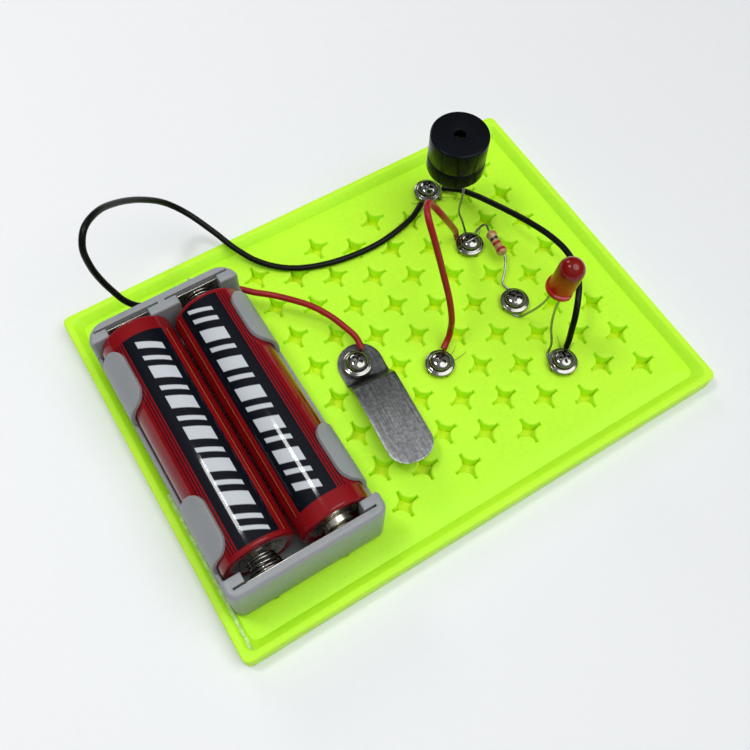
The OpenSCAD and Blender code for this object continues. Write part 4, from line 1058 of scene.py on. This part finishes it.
def make_holder():
    edge = 1.0
    round_top = [(edge * (1 - math.cos(a)), END_TOP - edge * (1 - math.sin(a))) for a in quarter(7)]
    profile = [(0.15, 0.8), (0.04, 0.84), (0.0, 0.95), (0.0, END_TOP - edge - 0.06), *round_top,
               (edge + 0.05, END_TOP)]
    cutters = [well(HOLDER_X0 + HOLDER_WALL, HOLDER_X1 - HOLDER_WALL, BAY_Y0, BAY_Y1, 0.5), over_sides(),
               well(LEFT_X - WINDOW_HALF, RIGHT_X + WINDOW_HALF, FRONT_PLATE_Y, BAY_Y0 + 0.4, 0.35),
               well(LEFT_X - SLOT_HALF, RIGHT_X + SLOT_HALF, FRONT_PLATE_Y - 0.4, FRONT_PLATE_Y + 0.02, 0.1)]
    for x, lug_z in ((LEFT_X, LEFT_LUG_Z), (RIGHT_X, RIGHT_LUG_Z)):
        cutters += [well(x - WINDOW_HALF, x + WINDOW_HALF, BAY_Y1 - 0.4, BACK_PLATE_Y, 0.35),
                    well(x - SLOT_HALF, x + SLOT_HALF, BACK_PLATE_Y - 0.02, BACK_PLATE_Y + 0.4, 0.1),
                    stacked([oblong(x - 0.3, x + 0.3, BACK_PLATE_Y, HOLDER_Y1 + 1, lug_z + dz)
                             for dz in (-1.3, 1.3)])]
    cutters += [off_corner(x, y, in_x, in_y) for x, in_x in ((HOLDER_X0, 1), (HOLDER_X1, -1))
                for y, in_y in ((BAY_Y0, -1), (BAY_Y1, 1))]
    return cut_away(stacked([holder_ring(inset, z) for inset, z in profile]), cutters)


show("holder_box", make_holder(), frost, "holder_grey", "battery_holder")


def snap_tab(x, y, side):
    """A curled tab with round corners, flared where it leaves the wall."""
    rows, columns = 14, 16
    first = math.asin(TAB_ROOT / TAB_OUT_R)
    tall = TAB_OUT_R * (TAB_TOP - first)
    corner, flare = 3.2, 0.35
    verts = []
    for r in (TAB_OUT_R, TAB_IN_R):
        for i in range(rows + 1):
            s = tall * (1 - (1 - i / rows) ** 1.6)
            half = TAB_L / 2
            if s > tall - corner:
                half -= corner - math.sqrt(max(corner ** 2 - (s - tall + corner) ** 2, 0.0))
            half += flare * max(0.0, 1 - s / 2.2) ** 2 - 0.15
            a = first + (TAB_TOP - first) * s / tall
            for k in range(columns + 1):
                across_tab = half * (2 * k / columns - 1)
                verts.append(at(x + side * r * math.cos(a), y + across_tab, CELL_Z + r * math.sin(a)))
    return verts, sheet_faces(rows, columns)


for name, x, side in (("left", LEFT_X, -1), ("right", RIGHT_X, 1)):
    pair = joined(*(snap_tab(x, y, side) for y in (HOLDER_Y0 + TAB_INSET, HOLDER_Y1 - TAB_INSET)))
    show(name + "_curled_tabs", rounded(to_mesh(name, *pair), 0.22, 2, 50.0), frost, "holder_grey",
         name + "_snap_tabs")


def make_tape():
    """The pad under the holder, and a ragged strip of it on the rim's inner slope."""
    corners = ((-48.9, -30.1), (-22.1, -30.1), (-22.1, 25.1), (-48.9, 25.1))
    pad = [(x, y, z) for z in (0.0, 0.8) for x, y in corners]
    pad_faces = [(3, 2, 1, 0), (4, 5, 6, 7), (0, 1, 5, 4), (1, 2, 6, 5), (2, 3, 7, 6), (3, 0, 4, 7)]
    count, verts, faces = 60, [], []
    for i in range(count + 1):
        y = -37.9 + 32.8 * i / count
        jag = [dice.uniform(-0.07, 0.07) for _ in range(4)]
        sill = 0.25 if y < -36.4 else 0.0
        section = ((-51.55 + jag[0], 0.86 + sill), (-50.95 + jag[1], 0.30 + jag[2] * 0.5 + sill * 4),
                   (-50.92 + jag[1], 0.98 + jag[3] + sill),
                   (-51.5 + jag[0], 1.06 + jag[2] * 0.4 + sill * 0.3))
        verts += [at(x, y, z) for x, z in section]
    for i in range(count):
        for k in range(4):
            a, b = 4 * i + k, 4 * i + (k + 1) % 4
            faces.append((a, b, b + 4, a + 4))
    faces += [(3, 2, 1, 0), tuple(range(4 * count, 4 * count + 4))]
    return joined(([at(*p) for p in pad], pad_faces), (verts, faces))


show("foam_tape", to_mesh("foam_tape", *make_tape(), sharp=25.0), foam, "foam", "mounting_tape")


# Cells

def cell_shapes():
    """The profiles of a cell's pieces, from its flat end, with their materials and slots."""
    shoulder = [(CELL_R - 0.55 + 0.55 * math.sin(a), 0.55 - 0.55 * math.cos(a)) for a in quarter(6)]
    length, fold = CELL_BODY_L, 5.2
    sleeve = [(fold, 0.2), (fold, 0.05), (fold + 0.05, 0.0)] + shoulder
    sleeve += [(r, length - z) for r, z in reversed(shoulder)]
    sleeve += [(fold + 0.05, length), (fold, length - 0.05), (fold, length - 0.2)]
    inner = [(6.5, length - 0.2), (6.84, length - 0.55), (6.84, 0.55), (6.5, 0.2)]
    sleeve += inner + sleeve[:1]
    can = [(0.0, 0.12), (3.0, 0.12), (3.5, 0.02), (4.9, 0.0), (5.19, 0.06), (5.19, 0.2), (6.5, 0.25),
           (6.82, 0.6), (6.82, 48.2), (0.0, 48.2)]
    seal = [(5.22, 48.6), (5.22, 49.0), (6.6, 49.0), (6.8, 48.9), (6.82, 48.2), (5.22, 48.2), (5.22, 48.6)]
    cap = [(0.0, 48.6), (5.1, 48.6), (5.19, 48.7), (5.19, 48.95), (5.0, 49.0), (3.0, 49.02), (2.8, 49.12),
           (2.75, 49.3), (2.75, 50.1), (2.66, 50.3), (2.4, 50.4), (0.0, 50.38)]
    return (("sleeve", sleeve, printed_film, "cell_sleeve"), ("can", can, cell_steel, "cell_can"),
            ("seal", seal, seal_black, "cell_seal"), ("cap", cap, cell_steel, "cell_cap"))


def place_cell(x, flat_end_y, way, turn):
    """Lays a cell drawn along Z with its nub along Y (1) or -Y (-1), and turns the middle of its
    print from the top towards the other cell."""
    axes = Matrix(((0, way, 0), (0, 0, way), (1, 0, 0))).to_4x4()
    spin = Matrix.Rotation(math.radians(turn), 4, "Z")
    return Matrix.Translation(at(x, flat_end_y, CELL_Z)) @ axes @ spin @ Matrix.Scale(MM, 4)


LEFT_FLAT_END, RIGHT_FLAT_END = -26.35, 21.35
for name, matrix in (("left", place_cell(LEFT_X, LEFT_FLAT_END, 1, 9)),
                     ("right", place_cell(RIGHT_X, RIGHT_FLAT_END, -1, 16))):
    for part, profile, mat, slot in cell_shapes():
        mesh = to_mesh(f"{name}_{part}", *lathe(profile, 96), matrix=matrix, sharp=50.0)
        show(f"{name}_cell_{part}_turned", mesh, mat, slot, f"{name}_cell_{part}", body=name + "_cell")


# Contacts: sheet plates, their solder, and the two conical springs

for node in ("positive_plate", "negative_plate", "bridge_plate"):
    show(node + "_sheet", softened(node, 0.07), dull_nickel, "contact_steel", node)


def spring(x, y, way):
    """A conical spring that stands on a plate and narrows towards its cell."""
    turns, steps, length = 4.5, 26, 3.45
    line = []
    for i in range(int(turns * steps) + 1):
        t = i / (turns * steps)
        r = 3.3 - 0.8 * min(t * 1.15, 1.0)
        a = 2 * math.pi * turns * t
        rise = 0.25 + (length - 0.5) * (t * t * (3 - 2 * t) * 0.6 + t * 0.4)
        line.append(at(x + r * math.cos(a) * way, y + way * rise, CELL_Z + r * math.sin(a)))
    return tube(line, 0.225 * MM, 10)


for name, x, y, way in (("front", LEFT_X, FRONT_PLATE_Y, 1), ("back", RIGHT_X, BACK_PLATE_Y, -1)):
    coil = to_mesh(name + "_coil", *spring(x, y, way))
    show(name + "_coil", coil, nickel, "spring_steel", name + "_spring")


def solder_bead(x, y, z, way):
    """A lump of solder on a lug, where a wire ends."""
    def lumpy(p):
        swell = 1.0 + 0.10 * math.sin(5 * p.x + 2 * p.z) + 0.08 * math.cos(4 * p.y - p.z)
        return Vector((p.x * 1.25 * swell, p.y * swell, p.z * swell))
    ball = [(0.95 * math.sin(math.pi * i / 12) if 0 < i < 12 else 0.0, -0.95 * math.cos(math.pi * i / 12))
            for i in range(13)]
    verts, faces, _ = lathe(ball, 20, lumpy)
    return [at(x + way * 0.7 + v.x, y + v.y, z + v.z) for v in verts], faces


beads = joined(solder_bead(-42.5, LUG_Y, LEFT_LUG_Z, 1), solder_bead(-28.5, LUG_Y, RIGHT_LUG_Z, -1))
show("lug_solder", to_mesh("lug_solder", *beads), solder, "lead_tin")


# Key: one springy strip, bent twice

LEAF_HALF = 4.6
LEAF_T = 0.4
TIP_R = 4.1
LEAF_TURN = math.radians(180 - 5.5)
LEAF_OFFSET = 0.8
LEAF_LIFT = 0.03


def leaf_point(x, y, z):
    """A point of the strip, drawn along +Y from the key screw, at its place on the board."""
    c, s = math.cos(LEAF_TURN), math.sin(LEAF_TURN)
    x -= LEAF_OFFSET
    return at(KEY[0] + x * c - y * s, KEY[1] + x * s + y * c, z + LEAF_LIFT)


def strip_line():
    """The strip's middle line from the side, with a small radius at each bend."""
    slope, blade_l, bend = math.radians(4), 19.05, 0.7
    knee = Vector((5.78, 3.6))
    corners = [Vector((-4.8, 0.2)), Vector((3.38, 0.2)), knee,
               Vector((knee.x + blade_l * math.cos(slope), knee.y + blade_l * math.sin(slope)))]
    line = [corners[0]]
    for before, corner, after in zip(corners, corners[1:], corners[2:]):
        back, on = (before - corner).normalized(), (after - corner).normalized()
        a, b = corner + back * bend, corner + on * bend
        last = line[-1]
        line += [last.lerp(a, i / 14) for i in range(1, 14)]
        line += [a * (1 - t) ** 2 + corner * 2 * t * (1 - t) + b * t * t for t in (i / 6 for i in range(7))]
    last = line[-1]
    line += [last.lerp(corners[-1], (i / 40) ** 0.8) for i in range(1, 41)]
    return line



def make_strip():
    """The strip as a closed sheet with a round foot and a round tip, and its UV along the steel."""
    line, columns = strip_line(), 12
    marks = [0.0]
    for a, b in zip(line, line[1:]):
        marks.append(marks[-1] + (b - a).length)
    whole = marks[-1]
    verts, uv_of = [], []
    for under in (0, 1):
        for i, p in enumerate(line):
            ahead = heading(line, i)
            normal = Vector((-ahead.y, ahead.x)) * (LEAF_T / 2) * (-1 if under else 1)
            half = LEAF_HALF
            if marks[i] < LEAF_HALF:
                half = math.sqrt(max(LEAF_HALF ** 2 - (LEAF_HALF - marks[i]) ** 2, 0.35))
            to_tip = whole - marks[i]
            if to_tip < TIP_R:
                half = LEAF_HALF - TIP_R + math.sqrt(max(TIP_R ** 2 - (TIP_R - to_tip) ** 2, 0.0))
            for k in range(columns + 1):
                x = half * (2 * k / columns - 1)
                q = p + normal
                verts.append(leaf_point(x, q.x, q.y))
                uv_of.append((x / (2 * LEAF_HALF) + 0.5, marks[i] / whole))
    faces = sheet_faces(len(line) - 1, columns)
    uvs = [[uv_of[i] for i in face] for face in faces]
    return rounded(to_mesh("key_strip", verts, faces, uvs), 0.09, 2, 50.0)


key_strip = add_object("key_strip", make_strip())
key_strip.data.materials.append(strip_steel)
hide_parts("key_foot", "key_blade")
leaf_point(LEAF_OFFSET, 5.6, 3.6)
leaf_point(LEAF_OFFSET, 9.6, 3.6)
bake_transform(key_strip)


# Buzzer, whose inner pieces are shown as the CAD has them

def standing(spot, z, lean=Matrix()):
    """Stands a shape drawn in millimetres at a spot on the board."""
    return Matrix.Translation(at(*spot, z)) @ lean @ Matrix.Scale(MM, 4)


def make_buzzer_case():
    """A satin can with a seam, four mould lines up its side, and a sound hole."""
    profile = [(5.2, 0.0), (5.8, 0.0), (5.95, 0.05), (6.0, 0.2), (6.0, 3.5), (5.96, 3.56), (5.86, 3.62),
               (5.86, 3.74), (5.96, 3.8), (6.0, 3.86), (6.0, 9.1), (5.96, 9.3), (5.85, 9.43), (5.65, 9.5),
               (3.4, 9.5), (1.38, 9.5), (1.24, 9.46), (1.2, 9.36), (1.2, 8.7), (5.1, 8.7), (5.2, 8.5),
               (5.2, 0.0)]
    lines = [math.radians(a) for a in (204.4, 269.4, 24.4, 89.4)]
    line_depth, line_half = 0.09, 0.13

    def mould_lines(p):
        r = math.hypot(p.x, p.y)
        if r < 5.7 or p.z < 0.02 or p.z > 9.35:
            return p
        a = math.atan2(p.y, p.x)
        near = min(abs((a - line + math.pi) % (2 * math.pi) - math.pi) for line in lines) * r
        dip = line_depth * math.exp(-(near / line_half) ** 2)
        return Vector((p.x * (1 - dip / r), p.y * (1 - dip / r), p.z))

    verts, faces, _ = lathe(profile, 360, mould_lines)
    return to_mesh("buzzer_can", verts, faces, matrix=standing(BUZZER, BUZZER_Z), sharp=55.0)


show("buzzer_can", make_buzzer_case(), buzzer_black, "buzzer_black", "buzzer_case")
for node, mat in (("buzzer_base", circuit_green), ("buzzer_magnet", ferrite), ("buzzer_coil", winding),
                  ("buzzer_core", ferrite), ("buzzer_diaphragm", dull_nickel), ("led_chip", chip_gold)):
    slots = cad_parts[node].data.materials
    slots.clear()
    slots.append(mat)


# Lamp and resistor

LAMP_LEAN = Vector((0.094, -0.058, 1.0))


def make_lens_shape():
    """A flanged barrel with a dome and a flat on its flange, leaning a little."""
    barrel_r, dome_z = 2.5, 6.2
    dome = [(barrel_r * math.cos(a), dome_z + barrel_r * math.sin(a)) for a in quarter(14)[:-1]]
    profile = [(0.0, 0.0), (2.7, 0.0), (2.86, 0.06), (2.9, 0.2), (2.9, 0.8), (2.84, 0.94), (2.66, 1.0),
               (2.54, 1.06), (2.5, 1.2), (2.5, 3.8)] + dome + [(0.0, 8.7)]
    flat = -Vector((math.cos(LAMP_TURN), math.sin(LAMP_TURN), 0.0))

    def cut_flat(p):
        out = p.dot(flat)
        return p - flat * (out - 2.52) if out > 2.52 and p.z < 1.05 else p

    verts, faces, _ = lathe(profile, 64, cut_flat)
    lean = Vector((0, 0, 1)).rotation_difference(LAMP_LEAN).to_matrix().to_4x4()
    return to_mesh("lamp_lens", verts, faces, matrix=standing(LAMP, LENS_Z, lean))


show("lamp_lens", make_lens_shape(), red_lens, "lens_red", "led_lens")



def make_resistor():
    """A body with two round ends and a waist, drawn along Z and laid between its leads."""
    half, end, waist = RESISTOR_L / 2, 1.15, 0.95
    profile = [(0.0, 0.0), (0.28, 0.0), (0.42, 0.06)]
    profile += [(0.42 + (end - 0.42) * math.sin(a), 0.06 + 0.62 * (1 - math.cos(a))) for a in quarter(8)[1:]]
    profile += [(end, 0.95), (end - 0.03, 1.25), (end - 0.12, 1.55), (waist, 1.85), (waist, half)]
    profile += [(r, RESISTOR_L - z) for r, z in reversed(profile[:-1])]
    up = Vector((0, 0, 1))
    axes = Matrix((up, RESISTOR_DIR.cross(up), RESISTOR_DIR)).transposed()
    matrix = Matrix.Translation(at(*RESISTOR_START)) @ axes.to_4x4() @ Matrix.Scale(MM, 4)
    return to_mesh("banded_resistor", *lathe(profile, 48), matrix=matrix)


show("banded_resistor", make_resistor(), banded_lacquer, "resistor_tan", "resistor_body")


# Floor and light

TABLE = (0.80, 0.81, 0.82)


def make_floor():
    mat, tree, shader = blank("pale_table", TABLE, 0.6)
    tone, rough, _ = mottle(tree, 6.0, 600.0, (0.985, 1.01), (0.55, 0.65))
    dress(tree, shader, tint(tree, TABLE, tone), rough)
    size, z = 3.0, -0.00003
    corners = [Vector((x * size, y * size, z)) for x, y in ((-1, -1), (1, -1), (1, 1), (-1, 1))]
    mesh = to_mesh("table_top", corners, [(0, 1, 2, 3)], outward=False)
    obj = add_object("table_top", mesh)
    mesh.materials.append(mat)


def add_light(name, kind, place, aim, **settings):
    data = bpy.data.lights.new(name, kind)
    for key, value in settings.items():
        setattr(data, key, value)
    obj = add_object(name, data)
    obj.location = place
    obj.rotation_mode = "QUATERNION"
    obj.rotation_quaternion = (Vector(aim) - Vector(place)).to_track_quat("-Z", "Y")


def make_studio():
    """Soft light that is brighter overhead and in front; the camera sees it as a plain pale backdrop."""
    world = bpy.data.worlds.new("studio")
    bpy.context.scene.world = world
    world.use_nodes = True
    tree = world.node_tree
    dome = tree.nodes["Background"]
    toward = add_node(tree, "ShaderNodeVectorMath", operation="DOT_PRODUCT")
    feed(tree, toward.inputs[0], tree.nodes.new("ShaderNodeNewGeometry").outputs["Incoming"])
    feed(tree, toward.inputs[1], (-0.05, 0.3, -0.95))
    feed(tree, dome.inputs["Strength"], remap(tree, toward.outputs["Value"], 0.1, 0.95, 0.05, 0.48))
    feed(tree, dome.inputs["Color"], (0.94, 0.97, 1.0))
    backdrop = add_node(tree, "ShaderNodeBackground", Color=TABLE)
    mix = tree.nodes.new("ShaderNodeMixShader")
    seen = tree.nodes.new("ShaderNodeLightPath").outputs["Is Camera Ray"]
    for socket, source in zip(mix.inputs, (seen, dome.outputs[0], backdrop.outputs[0])):
        feed(tree, socket, source)
    feed(tree, tree.nodes["World Output"].inputs["Surface"], mix.outputs[0])


make_floor()
make_studio()
# Two wide windows far away, and a small lamp above the left side
add_light("soft_key", "SUN", (0.24, -0.24, 0.78), (0, 0, 0), energy=1.55, angle=math.radians(48.0))
add_light("soft_back", "SUN", (0.05, 0.95, 0.62), (0, 0, 0), energy=0.35, angle=math.radians(20.0))
add_light("lamp", "AREA", (-0.155, 0.118, 0.479), (-0.155, 0.1179, 0.0), shape="RECTANGLE", size=0.085,
          size_y=0.10, energy=0.75)
bpy.context.scene.view_settings.view_transform = "Standard"
